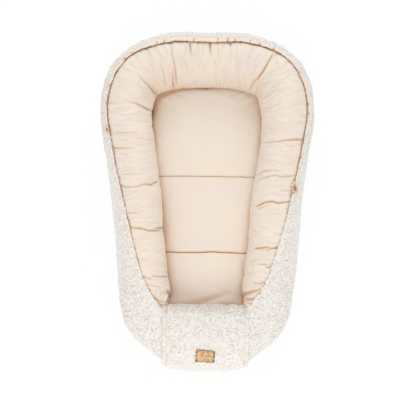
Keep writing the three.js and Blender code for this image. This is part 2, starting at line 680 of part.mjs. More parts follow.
for (const [side, name] of [[1, "head"], [-1, "foot"]]) {
  const tapeMiddle = ZIP_PLACE + side * (tapeInner + ZIP_TAPE_WIDTH / 2);
  const tapeLength = 2 * (slotEnd - LAYER_GAP);
  place("zip_tape_" + name, box(tapeLength, ZIP_TAPE_WIDTH, ZIP_TAPE, 0, tapeMiddle, chainMiddle), tape);
  place("zip_teeth_" + name, teethRow(side), nickel);
}
const stopMiddle = zipHalf + LAYER_GAP + STOP_LENGTH / 2;
for (const [side, name] of [[1, "closed"], [-1, "open"]]) {
  const stopWidth = 2 * (tapeInner - LAYER_GAP);
  const stop = box(STOP_LENGTH, stopWidth, SLIDER_RISE, side * stopMiddle, ZIP_PLACE, chainMiddle);
  place("zip_stop_" + name, stop, nickel);
}

const wasm = await Module();
wasm.setup();
function solid(geometry) {
  const bare = geometry.clone();
  bare.deleteAttribute("normal");
  bare.deleteAttribute("uv");
  const merged = mergeVertices(bare, 1e-4);
  const triVerts = new Uint32Array(merged.index.array);
  return new wasm.Manifold(new wasm.Mesh({ numProp: 3, vertProperties: merged.attributes.position.array, triVerts }));
}
function geometryOf(made) {
  const mesh = made.getMesh();
  const geometry = new THREE.BufferGeometry();
  geometry.setAttribute("position", new THREE.BufferAttribute(new Float32Array(mesh.vertProperties), 3));
  geometry.setIndex(new THREE.BufferAttribute(new Uint32Array(mesh.triVerts), 1));
  return geometry;
}
const lowerPlate = chainMiddle - SLIDER_RISE / 2 - SLIDER_PLATE / 2;
const pullHeight = chainMiddle - SLIDER_RISE / 2 - SLIDER_PLATE - ZIP_CLEARANCE - PULL_THICKNESS / 2;
const bailHeight = pullHeight - PULL_THICKNESS / 2 - ZIP_CLEARANCE - BAIL_BAR / 2;
function zipSlider() {
  const upperPlate = chainMiddle + SLIDER_RISE / 2 + SLIDER_PLATE / 2;
  const plates = [upperPlate, lowerPlate].map((z) => solid(box(SLIDER_LENGTH, SLIDER_WIDTH, SLIDER_PLATE, 0, 0, z)));
  const wedgeHeight = SLIDER_RISE + SLIDER_PLATE;
  const wedge = solid(box(SLIDER_LENGTH - SLIDER_WIDTH / 2, ZIP_WEDGE, wedgeHeight, 0, 0, chainMiddle));
  const bail = solid(box(BAIL_SPAN, BAIL_WIDTH, BAIL_BAR, 0, 0, bailHeight));
  const legHeight = lowerPlate - bailHeight;
  const legMiddle = bailHeight + legHeight / 2;
  const legs = [-1, 1].map((side) => {
    const x = side * (BAIL_SPAN - BAIL_BAR) / 2;
    return solid(box(BAIL_BAR, BAIL_WIDTH, legHeight, x, 0, legMiddle));
  });
  const made = [plates[1], wedge, bail, ...legs].reduce((sum, piece) => sum.add(piece), plates[0]);
  return geometryOf(made).translate(sliderAt, ZIP_PLACE, 0);
}
function zipPull() {
  const middle = -PULL_LENGTH / 2 + PULL_THICKNESS / 2;
  const plate = solid(box(PULL_LENGTH, PULL_WIDTH, PULL_THICKNESS, middle, 0, 0));
  const eyeWidth = BAIL_WIDTH + 2 * ZIP_CLEARANCE;
  const eyeMiddle = -PULL_THICKNESS / 2 - PULL_EYE / 2;
  const eye = solid(box(PULL_EYE, eyeWidth, 2 * PULL_THICKNESS, eyeMiddle, 0, 0));
  return geometryOf(plate.subtract(eye)).translate(sliderAt, ZIP_PLACE, pullHeight);
}
place("zip_slider", zipSlider(), nickel);
place("zip_pull", zipPull(), nickel);

export default lounger;
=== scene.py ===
# An infant lounger: a soft cotton roll bent into a nest, with a curly pile outside and a quilted pad.
import itertools
import math
import bpy
import numpy as np
from mathutils import Matrix, Vector


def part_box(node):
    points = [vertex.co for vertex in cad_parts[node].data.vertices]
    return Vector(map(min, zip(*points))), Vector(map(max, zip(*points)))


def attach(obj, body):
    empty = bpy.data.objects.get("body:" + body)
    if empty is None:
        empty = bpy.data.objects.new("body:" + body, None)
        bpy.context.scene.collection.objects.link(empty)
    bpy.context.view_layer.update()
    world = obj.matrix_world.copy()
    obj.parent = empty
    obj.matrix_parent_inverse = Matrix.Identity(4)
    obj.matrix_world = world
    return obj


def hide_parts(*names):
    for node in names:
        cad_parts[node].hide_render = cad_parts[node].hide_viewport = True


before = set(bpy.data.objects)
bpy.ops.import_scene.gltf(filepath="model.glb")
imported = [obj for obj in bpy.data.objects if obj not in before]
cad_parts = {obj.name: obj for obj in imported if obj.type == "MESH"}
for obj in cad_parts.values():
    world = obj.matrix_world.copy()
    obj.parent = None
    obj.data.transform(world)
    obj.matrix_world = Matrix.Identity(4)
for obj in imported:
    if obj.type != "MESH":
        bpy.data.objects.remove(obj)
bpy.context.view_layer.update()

# The camera stands over the foot end and looks down along the nest, level with nothing but its own
# slight tilt to the left, with a long lens as for a catalogue picture.
view_target = Vector((0, -0.0395, 0.060))
view_distance = 2.6
view_elevation = math.radians(65)
view_tilt = math.radians(0.5)
picture_width = 416
focal_pixels = 1058
centre_shift_pixels = 1.5
back = Vector((0, -math.cos(view_elevation), math.sin(view_elevation)))
level_right = Vector((1, 0, 0))
level_up = back.cross(level_right)
right = level_right * math.cos(view_tilt) + level_up * math.sin(view_tilt)
up = level_up * math.cos(view_tilt) - level_right * math.sin(view_tilt)
bpy.ops.object.camera_add(location=view_target + back * view_distance)
camera = bpy.context.object
camera.matrix_world = Matrix((
    (right.x, up.x, back.x, camera.location.x),
    (right.y, up.y, back.y, camera.location.y),
    (right.z, up.z, back.z, camera.location.z),
    (0, 0, 0, 1),
))
camera.data.sensor_width = 36
camera.data.lens = camera.data.sensor_width * focal_pixels / picture_width
camera.data.shift_x = centre_shift_pixels / picture_width
bpy.context.scene.camera = camera
bpy.context.scene.view_settings.view_transform = "Standard"


# The studio: a white sweep, one large soft lamp over the foot end, a weaker one over the head, and
# white light from all round. The floor shows white and keeps a faint shadow.
class Wire:
    """One output in a material's nodes. A sum, difference or product of wires adds its Math node."""

    def __init__(self, finish, socket):
        self.finish = finish
        self.socket = socket

    def worked(self, operation, other):
        return self.finish.node("Math", {"operation": operation}, {0: self, 1: other})

    def __add__(self, other):
        return self.worked("ADD", other)

    def __sub__(self, other):
        return self.worked("SUBTRACT", other)

    def __mul__(self, other):
        return self.worked("MULTIPLY", other)


class Finish:
    """A material. Constants go on its own surface node, and node() adds whatever feeds it."""

    def __init__(self, name, surface="BsdfPrincipled", **constants):
        self.material = bpy.data.materials.new(name)
        self.material.use_nodes = True
        self.tree = self.material.node_tree
        self.tree.nodes.clear()
        self.surface = self.tree.nodes.new("ShaderNode" + surface)
        output = self.tree.nodes.new("ShaderNodeOutputMaterial")
        self.tree.links.new(self.surface.outputs[0], output.inputs["Surface"])
        for socket, value in constants.items():
            self.feed(self.surface.inputs[socket.replace("_", " ").title()], value)

    def feed(self, socket, value):
        if isinstance(value, Wire):
            self.tree.links.new(value.socket, socket)
        elif hasattr(value, "__len__") and socket.type == "RGBA":
            socket.default_value = (*value[:3], 1)
        else:
            socket.default_value = value

    def node(self, kind, settings=None, values=None, output=0):
        made = self.tree.nodes.new("ShaderNode" + kind)
        for setting, value in (settings or {}).items():
            setattr(made, setting, value)
        for socket, value in (values or {}).items():
            self.feed(made.inputs[socket], value)
        return Wire(self, made.outputs[output])

    def blend(self, share, first, second):
        """The first colour where the share is 0, and the second where it is 1."""
        node = self.node("Mix", {"data_type": "RGBA"}).socket.node
        colours = [s for s in node.inputs if s.type == "RGBA"]
        self.feed(node.inputs[0], share)
        self.feed(colours[0], first)
        self.feed(colours[1], second)
        return Wire(self, next(s for s in node.outputs if s.type == "RGBA"))

    def place(self):
        """Where each point lies in the object's own space."""
        return self.node("TexCoord", output=3)

    def mark(self, name):
        """A number that the piece's points carry."""
        return self.node("Attribute", {"attribute_name": name}, output=2)

    def spread_over(self, value, low, high):
        """0 where the value is low and 1 where it is high."""
        return self.node("MapRange", None, {"Value": value, "From Min": low, "From Max": high})

    def noise(self, place, scale, detail=2, roughness=0.5):
        cloud = {"Vector": place, "Scale": scale, "Detail": detail, "Roughness": roughness}
        return self.node("TexNoise", None, cloud)

    def bump(self, height, strength, distance):
        bumped = {"Height": height, "Strength": strength, "Distance": distance}
        self.set("Normal", self.node("Bump", None, bumped))

    def set(self, socket, value):
        self.feed(self.surface.inputs[socket], value)


def shade(red, green, blue):
    """A colour as the eye reads it, 0 to 255, in the renderer's own linear values."""
    written = (red / 255, green / 255, blue / 255)
    return tuple(((c + 0.055) / 1.055) ** 2.4 if c > 0.04 else c / 12.92 for c in written)


floor_size = 12
floor_drop = 0.0005
floor_white = 0.94
white_share = 0.92
floor_finish = Finish("studio_floor", surface="MixShader")
path = floor_finish.tree.nodes.new("ShaderNodeLightPath")
seen = Wire(floor_finish, path.outputs["Is Camera Ray"]) + Wire(floor_finish, path.outputs["Is Glossy Ray"])
seen = seen + Wire(floor_finish, path.outputs["Is Transmission Ray"])
floor_finish.feed(floor_finish.surface.inputs[0], seen * white_share)
matt = floor_finish.node("BsdfDiffuse", None, {"Color": (floor_white, floor_white, floor_white)})
glow = floor_finish.node("Emission", None, {"Color": (1, 1, 1), "Strength": 1.0})
floor_finish.feed(floor_finish.surface.inputs[1], matt)
floor_finish.feed(floor_finish.surface.inputs[2], glow)
bpy.ops.mesh.primitive_plane_add(size=floor_size, location=(0, 0, -floor_drop))
studio_floor = bpy.context.object
studio_floor.name = "studio_floor"
studio_floor.data.materials.append(floor_finish.material)

world = bpy.data.worlds.new("studio")
bpy.context.scene.world = world
world.use_nodes = True
room = world.node_tree
ambient_strength = 0.78
background = room.nodes["Background"]
background.inputs["Color"].default_value = (1, 1, 1, 1)
background.inputs["Strength"].default_value = ambient_strength
plain_white = room.nodes.new("ShaderNodeBackground")
plain_white.inputs["Color"].default_value = (1, 1, 1, 1)
room_path = room.nodes.new("ShaderNodeLightPath")
room_mix = room.nodes.new("ShaderNodeMixShader")
room.links.new(room_path.outputs["Is Camera Ray"], room_mix.inputs[0])
room.links.new(background.outputs[0], room_mix.inputs[1])
room.links.new(plain_white.outputs[0], room_mix.inputs[2])
room.links.new(room_mix.outputs[0], room.nodes["World Output"].inputs["Surface"])

lamp_target = Vector((0, 0, 0.08))
lamps = [
    {"name": "foot_lamp", "at": (-0.1, -2.5, 2.1), "size": 1.5, "watts": 31},
    {"name": "head_lamp", "at": (0.2, 2.6, 1.5), "size": 2.4, "watts": 24},
]
for lamp in lamps:
    bpy.ops.object.light_add(type="AREA", location=lamp["at"])
    light = bpy.context.object
    light.name = lamp["name"]
    light.data.shape = "DISK"
    light.data.size = lamp["size"]
    light.data.energy = lamp["watts"]
    light.rotation_euler = (lamp_target - Vector(lamp["at"])).to_track_quat("-Z", "Y").to_euler()

# The roll: a long tube of thin satin cotton stuffed with loose fibre, bent round the pad and drawn in
# along its rim seam. The stuffing fills it tight, and the cloth gathers in folds across it.
ring_half_width = 0.2008
ring_half_length = 0.376
roll_radius = 0.073
roll_height_ratio = 1.02
roll_sink_share = 0.92
roll_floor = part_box("roll_filling")[0].z
sleeve_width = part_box("foot_sleeve")[1].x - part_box("foot_sleeve")[0].x
foot_spread = 0.056
foot_lean = 1.16
lining_end = 236
wall_start = -54
# Each row: across and along as shares of the half sizes, girth as a share, seam angle in degrees
# from the outward horizontal. Places run from 0 at the foot over 11 at the head.
ring_shares = [
    (0, -1, 0.877, 116),
    (0.249, -0.9973, 0.877, 116),
    (0.458, -0.968, 0.836, 116),
    (0.6375, -0.8564, 0.815, 108),
    (0.7196, -0.6543, 0.808, 88),
    (0.7819, -0.4149, 0.808, 73),
    (0.8431, -0.063, 0.822, 53),
    (0.9387, 0.3066, 0.849, 41),
    (1, 0.6144, 0.925, 43),
    (0.8865, 0.8431, 0.993, 63),
    (0.488, 0.9734, 1, 77),
    (0, 1, 0.973, 82),
]
places = 2 * (len(ring_shares) - 1)
head_place = places // 2
inner_hold = 5
# Where the soft roll gives: how far, about which place from the foot, and over how many places. Pairs are
# for the right-hand and the left-hand half. Inside, it leaves the pad room and closes in beside the sleeve.
corner_room = (0.009, 9.2, 0.85)
side_room = (0.006, 7.8, 0.9)
right_room = ((0.004, 6.7, 0.6), (-0.004, 8.1, 0.7))
end_fill = (0.006, 2.8, 0.45)
mouth_fill = ((0.030, 0.028), (2.12, 2.20), 0.33)
notch_fill = ((0.013, 0.011), 2.4, 0.32)
notch_width = 1.4
# Outside, it is slimmer beside the sleeve, at the left side's waist and behind the head.
foot_slim = (0.0105, 2.65, 0.62)
waist_slim = ((0, 0.005), 5.0, 0.8)
head_slim = (0.006, head_place, 0.8)
# Its rim seam comes down by this many degrees towards the sleeve.
seam_drop = ((4, 8), 2.35, 0.45)
# Places at which the casing starts on the right and ends on the left.
casing_start = 6.12
casing_end = 14.65


def mound(value, middle, wide):
    """A soft hump of height 1."""
    return np.exp(-(((value - middle) / wide) ** 2))


def rising(value, start, over):
    """0 up to the start, then rising to 1."""
    return np.clip((value - start) / over, 0, 1)


def falling(value, end, over):
    """1 at first, falling to 0 at the end."""
    return np.clip((end - value) / over, 0, 1)


def closed_curve(knots, centripetal):
    """A smooth closed curve through the knots, which takes the share of the way round."""
    knots = np.array(knots, float)

    def at(share):
        way = (np.asarray(share, float) % 1) * len(knots)
        first = np.floor(way).astype(int)
        part = (way - first)[..., None]
        p0, p1, p2, p3 = (knots[(first + k) % len(knots)] for k in (-1, 0, 1, 2))
        leave = (p2 - p0) / 2
        reach = (p3 - p1) / 2
        if centripetal:
            pairs = ((p0, p1), (p1, p2), (p2, p3))
            d0, d1, d2 = (np.sqrt(np.linalg.norm(b - a, axis=-1, keepdims=True)) for a, b in pairs)
            leave = ((p1 - p0) / d0 - (p2 - p0) / (d0 + d1) + (p2 - p1) / d1) * d1
            reach = ((p2 - p1) / d1 - (p3 - p1) / (d1 + d2) + (p3 - p2) / d2) * d1
        curve = p1 + leave * part + (3 * (p2 - p1) - 2 * leave - reach) * part**2
        return curve + (2 * (p1 - p2) + leave + reach) * part**3

    return at


ring_half = [(a * ring_half_width, b * ring_half_length, g * roll_radius, s) for a, b, g, s in ring_shares]
ring_left = [(-x, y, r, s) for x, y, r, s in ring_half[-2:0:-1]]
centre_line = closed_curve([k[:2] for k in ring_half + ring_left], True)
shape_line = closed_curve([k[2:] for k in ring_half + ring_left], False)
flat_inner = -ring_half_length + ring_shares[0][2] * roll_radius


class Ring:
    """The roll's sections at a list of places: middle, outward direction, radii and seam angle. A bulged
    one has the roll's fat ends beside the sleeve, and a plain one passes under the sleeve without them."""

    def __init__(self, where, bulged=True):
        self.where = np.atleast_1d(np.asarray(where, float))
        share = self.where / places
        step = 1e-4
        self.middle = centre_line(share)
        ahead = centre_line(share + step) - centre_line(share - step)
        ahead /= np.linalg.norm(ahead, axis=1, keepdims=True)
        self.radius, self.seam = shape_line(share).T
        square = np.stack([ahead[:, 1], -ahead[:, 0]], axis=1)
        past = np.maximum(0, np.abs(self.middle[:, 0]) - sleeve_width / 2)
        straight = np.where(self.middle[:, 1] > 0, 0, np.maximum(0, 1 - past / foot_spread))
        self.outward = square * (1 - straight)[:, None] + np.array([0, -1]) * straight[:, None]
        self.outward /= np.linalg.norm(self.outward, axis=1, keepdims=True)
        self.lean = np.minimum(foot_lean, 1 / np.sum(self.outward * square, axis=1))
        pressed = (flat_inner - self.middle[:, 1]) / self.radius
        held_flat = straight**inner_hold
        from_foot = np.minimum(self.where % places, places - self.where % places)
        on_right = self.where % places < places / 2

        def give(amount, at, over):
            amount, at = (np.where(on_right, *np.broadcast_to(pair, 2)) for pair in (amount, at))
            return amount * mound(from_foot, at, over)

        room = give(*corner_room) + give(*side_room) + on_right * sum(give(*row) for row in right_room)
        self.seam = self.seam - give(*seam_drop)
        self.inner = self.lean * (1 - held_flat) + pressed * held_flat
        self.inner = self.inner + (give(*end_fill) - room + bulged * give(*mouth_fill)) / self.radius
        self.notch = bulged * give(*notch_fill) * np.sign(self.middle[:, 0])
        self.slim = give(*foot_slim) + give(*waist_slim) + give(*head_slim)

    def skin(self, angle, out, floor=roll_floor):
        """Points on the roll's skin at angles in degrees, pushed out by a distance, above a floor."""
        angle, out = np.broadcast_arrays(np.asarray(angle, float), np.asarray(out, float))
        turn = np.radians(angle)
        radius = self.radius[:, None]
        rise = radius * (roll_height_ratio - 1)
        stretch = np.where(np.cos(turn) > 0, self.lean[:, None], self.inner[:, None])
        slim = np.where(np.cos(turn) > 0, self.slim[:, None], 0)
        reach = (radius * stretch - slim + out * self.lean[:, None]) * np.cos(turn)
        across = self.middle[:, None, :] + self.outward[:, None, :] * reach[..., None]
        across[..., 0] -= self.notch[:, None] * np.clip(-np.cos(turn) * notch_width, 0, 1)
        middle_height = roll_floor + roll_sink_share * (radius + rise)
        height = np.maximum(floor, middle_height + (radius + out + rise) * np.sin(turn))
        return np.concatenate([across, height[..., None]], axis=2)

    def spread(self, length):
        """The angle in degrees that a length of cloth covers on the roll."""
        return np.degrees(length / self.radius)


fine_places = np.linspace(0, places, 2201)
fine_ring = Ring(fine_places)
steps = np.linalg.norm(np.diff(fine_ring.middle, axis=0), axis=1)
lengths = np.concatenate([[0], np.cumsum(steps)])


def length_at(where):
    """How far round the ring's middle line a place lies, in metres."""
    return np.interp(where, fine_places, lengths)


def places_between(start, end, spacing):
    """Places from one to another, evenly spaced along the ring's middle line."""
    a, b = length_at(start), length_at(end)
    count = max(2, int(round((b - a) / spacing)) + 1)
    return np.interp(np.linspace(a, b, count), lengths, fine_places)


def place_across(distance):
    """The place right of the foot whose middle lies this far from the nest's middle line."""
    near = fine_places < 3
    return float(np.interp(distance, fine_ring.middle[near, 0], fine_places[near]))


def select_only(piece):
    bpy.ops.object.select_all(action="DESELECT")
    piece.select_set(True)
    bpy.context.view_layer.objects.active = piece


def marked(piece, mark, values):
    """Gives every point of a piece a number that its material can read."""
    attribute = piece.data.attributes.new(mark, "FLOAT", "POINT")
    attribute.data.foreach_set("value", values.astype(np.float32).ravel())


def sewn_grid(name, points, marks=None):
    """A piece from a grid of points. Rows or columns that meet are sewn together."""
    rows, columns = points.shape[:2]
    bpy.ops.mesh.primitive_grid_add(x_subdivisions=columns - 1, y_subdivisions=rows - 1, size=1)
    piece = bpy.context.object
    piece.name = name
    piece.data.name = name
    piece.data.vertices.foreach_set("co", points.reshape(-1, 3).astype(np.float32).ravel())
    for mark, values in (marks or {}).items():
        marked(piece, mark, np.broadcast_to(values, (rows, columns)))
    piece.matrix_world = Matrix.Identity(4)
    select_only(piece)
    bpy.ops.object.mode_set(mode="EDIT")
    bpy.ops.mesh.select_all(action="SELECT")
    bpy.ops.mesh.remove_doubles(threshold=2e-6)
    bpy.ops.mesh.dissolve_degenerate(threshold=1e-7)
    bpy.ops.mesh.select_all(action="SELECT")
    bpy.ops.mesh.normals_make_consistent(inside=False)
    bpy.ops.object.mode_set(mode="OBJECT")
    bpy.ops.object.shade_smooth()
    return piece


def ripple(points, wavelength, seed, count=14):
    """Smooth uneven noise of about -1 to 1 over points in space."""
    draw = np.random.default_rng(seed)
    directions = draw.normal(size=(count, 3))
    directions /= np.linalg.norm(directions, axis=1, keepdims=True)
    pitch = 2 * math.pi / (wavelength * draw.uniform(0.7, 1.5, count))
    phase = draw.uniform(0, 2 * math.pi, count)
    total = np.zeros(points.shape[:-1])
    for direction, k, start in zip(directions, pitch, phase):
        total += np.cos(points @ direction * k + start)
    return total / math.sqrt(count)


# The main folds of the cloth, traced in the picture: how deep each is at its two ends, in
# millimetres, and the pixels that it passes through, across and down. Each is laid on the roll's skin
# where the camera sees it.
fold_picture_paths = [
    (2.8, 0.5, (146.3, 47), (150.2, 54), (151.6, 58)),
    (0.6, 1.2, (148.4, 61), (153.3, 70.1), (157.5, 78.5), (159.6, 86.2)),
    (1.4, 4.6, (138.2, 74.3), (142.1, 78.5), (147.7, 83.4), (153.3, 89), (157.5, 95.4)),
    (0.8, 2.6, (149.1, 82), (155.4, 88.4), (158.2, 94)),
    (0.5, 4.8, (120.6, 100), (135, 102.2), (143, 105.5), (152, 110.5)),
    (0.9, 0.5, (118.8, 102.5), (127, 103), (132.5, 104.4)),
    (0.5, 1.0, (119, 115), (132.5, 113.8), (141.3, 115)),
    (0.5, 1.1, (118, 120.8), (132.5, 120.2), (150, 122)),
    (0.8, 0.6, (115, 126), (127, 124), (134, 124.5)),
    (2.2, 1.0, (113, 132.8), (123.8, 132.3), (136, 132.5), (141, 133)),
    (0.7, 2.0, (115, 135.6), (128.8, 136.3), (145, 139.4), (153, 140)),
    (0.8, 0.8, (116, 138.8), (124, 140), (132.5, 141.9)),
    (3.6, 0.8, (112.6, 147.6), (126, 147.8), (136, 148.1)),
    (0.6, 1.0, (118, 151), (132, 150.4), (149, 151.8)),
    (0.6, 0.8, (118.8, 153.3), (137.5, 151.9), (150, 153.8)),
    (0.8, 0.7, (118, 160), (128, 162), (140, 161)),
    (0.7, 0.7, (117, 168), (130, 167), (141, 168)),
    (3.2, 2.0, (117.5, 184.2), (126.3, 186.9), (137.5, 186.3), (141, 185.6)),
    (2.0, 4.6, (138, 185.8), (145, 183.5), (150, 184), (154, 184.4)),
    (1.0, 4.6, (149, 184.4), (153, 182.6), (158, 181.6)),
    (0.7, 0.8, (121, 191.5), (132, 191), (145, 193.8)),
    (0.8, 0.6, (123.8, 195), (136, 191.6), (142, 192)),
    (0.7, 0.7, (124, 200), (136, 199), (146, 201)),
    (0.7, 0.6, (126, 206), (138, 205.4), (150, 207)),
    (2.6, 1.4, (127.6, 212.4), (136, 212.8), (142.5, 212)),
    (0.8, 0.8, (130, 217), (142, 218), (152, 217.6)),
    (0.6, 0.6, (130, 222), (140, 222.6), (150, 222)),
    (2.8, 4.4, (128.6, 227), (136, 227.2), (143, 227.9), (149.3, 230)),
    (4.4, 3.4, (149, 229.8), (155.6, 230.3), (162, 229.6)),
    (1.2, 5.0, (152.5, 229.4), (158.4, 227.5), (163.5, 227.4)),
    (1.0, 1.0, (138.1, 233.1), (146.5, 234.2), (152.1, 236)),
    (0.8, 1.0, (136.7, 236), (140.9, 237), (147, 237.8)),
    (0.8, 0.9, (139.5, 242.3), (146.5, 243.7), (151.4, 245.1)),
    (0.9, 0.8, (140.2, 258.1), (146, 258), (151.4, 258.4)),
    (0.8, 0.7, (141.6, 261.2), (151.4, 262)),
    (0.8, 0.8, (140.2, 263.7), (148, 264.4)),
    (3.6, 1.6, (143, 276.2), (148.6, 277.7), (153.1, 278)),
    (2.0, 3.0, (151, 275.4), (159.1, 275.9), (168.5, 276.3)),
    (2.2, 1.2, (146, 283.4), (151.4, 285.1), (159.1, 286.1), (163, 287.6)),
    (1.0, 0.8, (147.9, 289.3), (154, 290), (160, 290.7)),
    (4.4, 3.6, (151.8, 296), (159.1, 299.4), (164.7, 301.2), (170.6, 302.6)),
    (4.4, 4.4, (156.3, 300.5), (160.5, 303.3), (164.7, 304.3), (168, 304.3)),
    (4.6, 4.6, (159.9, 304.4), (162.9, 306.4), (165.4, 308.6)),
    (1.0, 2.6, (158.9, 61), (162.5, 67.3), (164.6, 77.1), (165.6, 86.2)),
    (1.4, 3.6, (171, 42), (171.6, 52.6), (174.4, 63.1), (175.8, 72.9), (176.9, 85)),
    (0.8, 4.2, (172.6, 68), (173.3, 78.5), (173.8, 88.6)),
    (5.2, 0.6, (189.8, 42.5), (190.5, 49), (191.6, 57)),
    (0.6, 0.6, (197.2, 51), (197.5, 60)),
    (5.2, 0.6, (210, 42), (210.2, 48.2), (210.9, 57)),
    (4.6, 0.5, (230.6, 42), (230.8, 47.5)),
    (0.5, 0.7, (216.9, 64), (217.3, 79)),
    (0.5, 0.7, (222.4, 66), (222.8, 82)),
    (0.6, 0.5, (228, 53.2), (228.4, 64)),
    (0.6, 0.6, (181, 62), (181.8, 80)),
    (0.6, 0.6, (186, 60), (186.4, 78)),
    (3.4, 5.0, (273.5, 52.9), (269.1, 59.7), (264.1, 68.4), (259.8, 74.8), (255.8, 80.6)),
    (3.4, 2.0, (255.4, 79.4), (251.8, 84.9), (249.4, 90.3)),
    (1.0, 2.2, (258.7, 84.2), (255.8, 90.7), (255.2, 96)),
    (2.2, 0.8, (278.6, 52.4), (274.2, 55.7), (269.9, 61.2)),
    (2.4, 1.0, (262.6, 99), (269.1, 93.6), (276, 90)),
    (1.2, 0.8, (267.7, 100.4), (274.2, 96.5), (281.4, 91.4), (287.2, 87.1)),
    (0.9, 0.9, (280.7, 82), (285.7, 78.4), (291, 74)),
    (0.8, 0.8, (270, 88), (278, 82), (284, 77)),
    (1.6, 1.0, (265.7, 109.4), (274.2, 105.1), (282, 102.4)),
    (0.8, 0.6, (266, 114), (276, 110.4), (285, 108)),
    (0.9, 0.6, (264, 128), (276, 126.4), (288, 124)),
    (0.8, 0.6, (264, 133), (276, 132), (290, 131.4)),
    (1.6, 4.4, (262, 142.4), (276.3, 141), (285, 139.6), (293.8, 139), (302.6, 139.4)),
    (0.9, 0.6, (262, 147), (274, 146), (284, 146.4)),
    (0.7, 0.6, (262, 156), (276, 155), (290, 156)),
    (0.7, 0.6, (261, 163), (275, 161.6), (288, 163)),
    (2.6, 1.8, (258.6, 175), (262.4, 171.6), (268, 170.4), (273.8, 170), (281, 170.6)),
    (2.4, 2.6, (259.6, 179), (268.8, 176.5), (275, 174.6), (282.5, 176.3), (294.6, 175)),
    (0.8, 1.0, (263.8, 185), (272.5, 181.3), (280, 180)),
    (0.9, 0.9, (262, 190), (272, 186.6), (283, 186)),
    (1.0, 1.4, (280, 190.6), (286, 190.4), (291, 191)),
    (0.9, 0.8, (260, 197), (270, 194), (280, 194.6)),
    (4.4, 3.6, (255.6, 206.4), (265, 201.3), (272.5, 200.6), (278.8, 202.3), (283.8, 201.5), (291, 201.4)),
    (2.6, 1.2, (258, 208.6), (265, 205.6), (271, 204)),
    (1.0, 0.8, (262, 214), (265.3, 212.8), (271.3, 210.6), (277, 209.6)),
    (1.0, 0.8, (262, 217.4), (265.3, 216), (273.5, 213.2), (279.7, 211.9)),
    (0.8, 0.7, (264, 222), (271.3, 219.1), (278.7, 216.8)),
    (0.7, 0.6, (262, 229), (272, 227), (280, 226)),
    (0.7, 0.6, (258, 240), (266, 238.6), (276, 238)),
    (5.0, 3.8, (254.6, 248.2), (262.4, 247.2), (269.3, 246.6)),
    (3.0, 4.4, (265.8, 249.8), (272, 247.6), (277.9, 247.2), (281.6, 245.2)),
    (2.0, 1.8, (259.9, 249.6), (266.1, 249)),
    (0.9, 0.8, (258, 253.4), (268, 252), (276, 252.4)),
    (2.4, 1.2, (250.4, 262.2), (255, 259.8), (259.7, 259)),
    (1.6, 2.6, (256.2, 264.4), (262.4, 263.8), (267.4, 264.2)),
    (2.6, 4.0, (265.8, 267), (271.3, 266.4), (275.4, 265.4)),
    (0.9, 0.8, (247, 272.8), (256.5, 272.7)),
    (1.6, 3.4, (251.7, 282.4), (260.9, 282.6), (267.3, 281.2)),
    (4.6, 3.4, (243.6, 291.4), (250.5, 290.1), (256.5, 289.4), (260.6, 288.2)),
    (3.0, 1.6, (243.8, 293.6), (249.8, 291.8), (253, 291.2)),
    (4.4, 4.8, (241.8, 295.8), (247.6, 296.8), (252, 297.9), (256.5, 297.3)),
    (4.8, 3.6, (255.6, 297.6), (259.4, 293.8), (263.4, 290.6)),
    (4.2, 3.6, (241.6, 298.2), (248.3, 298.8), (253, 298)),
    (3.4, 3.0, (239.9, 300.5), (246.1, 301.2), (250.5, 302.7), (256, 300.8)),
    (4.4, 4.0, (239.2, 304), (244.6, 304.9), (248.6, 307.6)),
]
looking_down = 1 / math.tan(view_elevation)
metres_per_pixel = view_distance / focal_pixels
picture_margin = 14
millimetre = 1e-3
# A fold: a narrow line with a lip beside it, in a wider valley. A strong one draws the roll in round it.
fold_line = 0.0017
fold_valley = 0.0085
fold_reach = 0.020
strong_fold = 2.5
# Painted shade: a fold starts to take it at the first depth, and takes it in full the second depth deeper.
shaded_fold = (0.0002, 0.0036)
# Wrinkles: fine and shallow, straight across the roll as the camera sees them.
wrinkle_count = 1500
wrinkle_width = (0.0014, 0.0036)
wrinkle_depth = (0.00020, 0.00100)
# A wrinkle this deep takes a little painted shade along its line.
wrinkle_shade_depth = 0.0009
wrinkle_drift = 0.006
wrinkle_rows = 0.060
# Gathers: short pleats that start in the rim seam, which itself lies in a groove.
gather_pitch = 0.0105
gather_width = 0.0022
gather_depth = 0.0009
seam_groove = 0.0012
# How far from the seam the pleats, the groove, the painted shade in the pleats and the painted shade along
# the seam reach, as shares of the way across the roll.
gather_reach = 0.055
groove_reach = 0.014
pleat_shade_reach = 0.018
seam_shade_reach = 0.009
# Along the nest, the painted shade on and beside the seam is pale up to the first place, and takes this far
# to turn dark.
seam_pale_until = 0.06
seam_fade = 0.20
seam_shade_pitch = 0.007
# The deepest that the cloth goes in, at the sleeve's mouth and on the rest of the roll.
deepest_at_mouth = 0.0036
deepest_on_roll = 0.0096
sleeve_half = sleeve_width / 2


def across_share(ring, angle):
    """0 at the rim seam, 1 where the lining ends under the nest."""
    return (angle - ring.seam[:, None]) / (lining_end - ring.seam[:, None])


def clear_of_sleeve(ring, length=0.02):
    """0 in the sleeve, rising to 1 a short way out of it."""
    low = rising(np.abs(ring.middle[:, 0]), sleeve_half, length)
    return np.where(ring.middle[:, 1] > 0, 1, low)[:, None]


def seen_at(points):
    """Where the camera sees each point, in pixels of the picture from its top left corner."""
    away = points - np.array(camera.location)
    depth = -(away @ np.array(back))
    across = picture_width / 2 - centre_shift_pixels + focal_pixels * (away @ np.array(right)) / depth
    down = picture_width / 2 - focal_pixels * (away @ np.array(up)) / depth
    return np.stack([across, down], axis=-1)


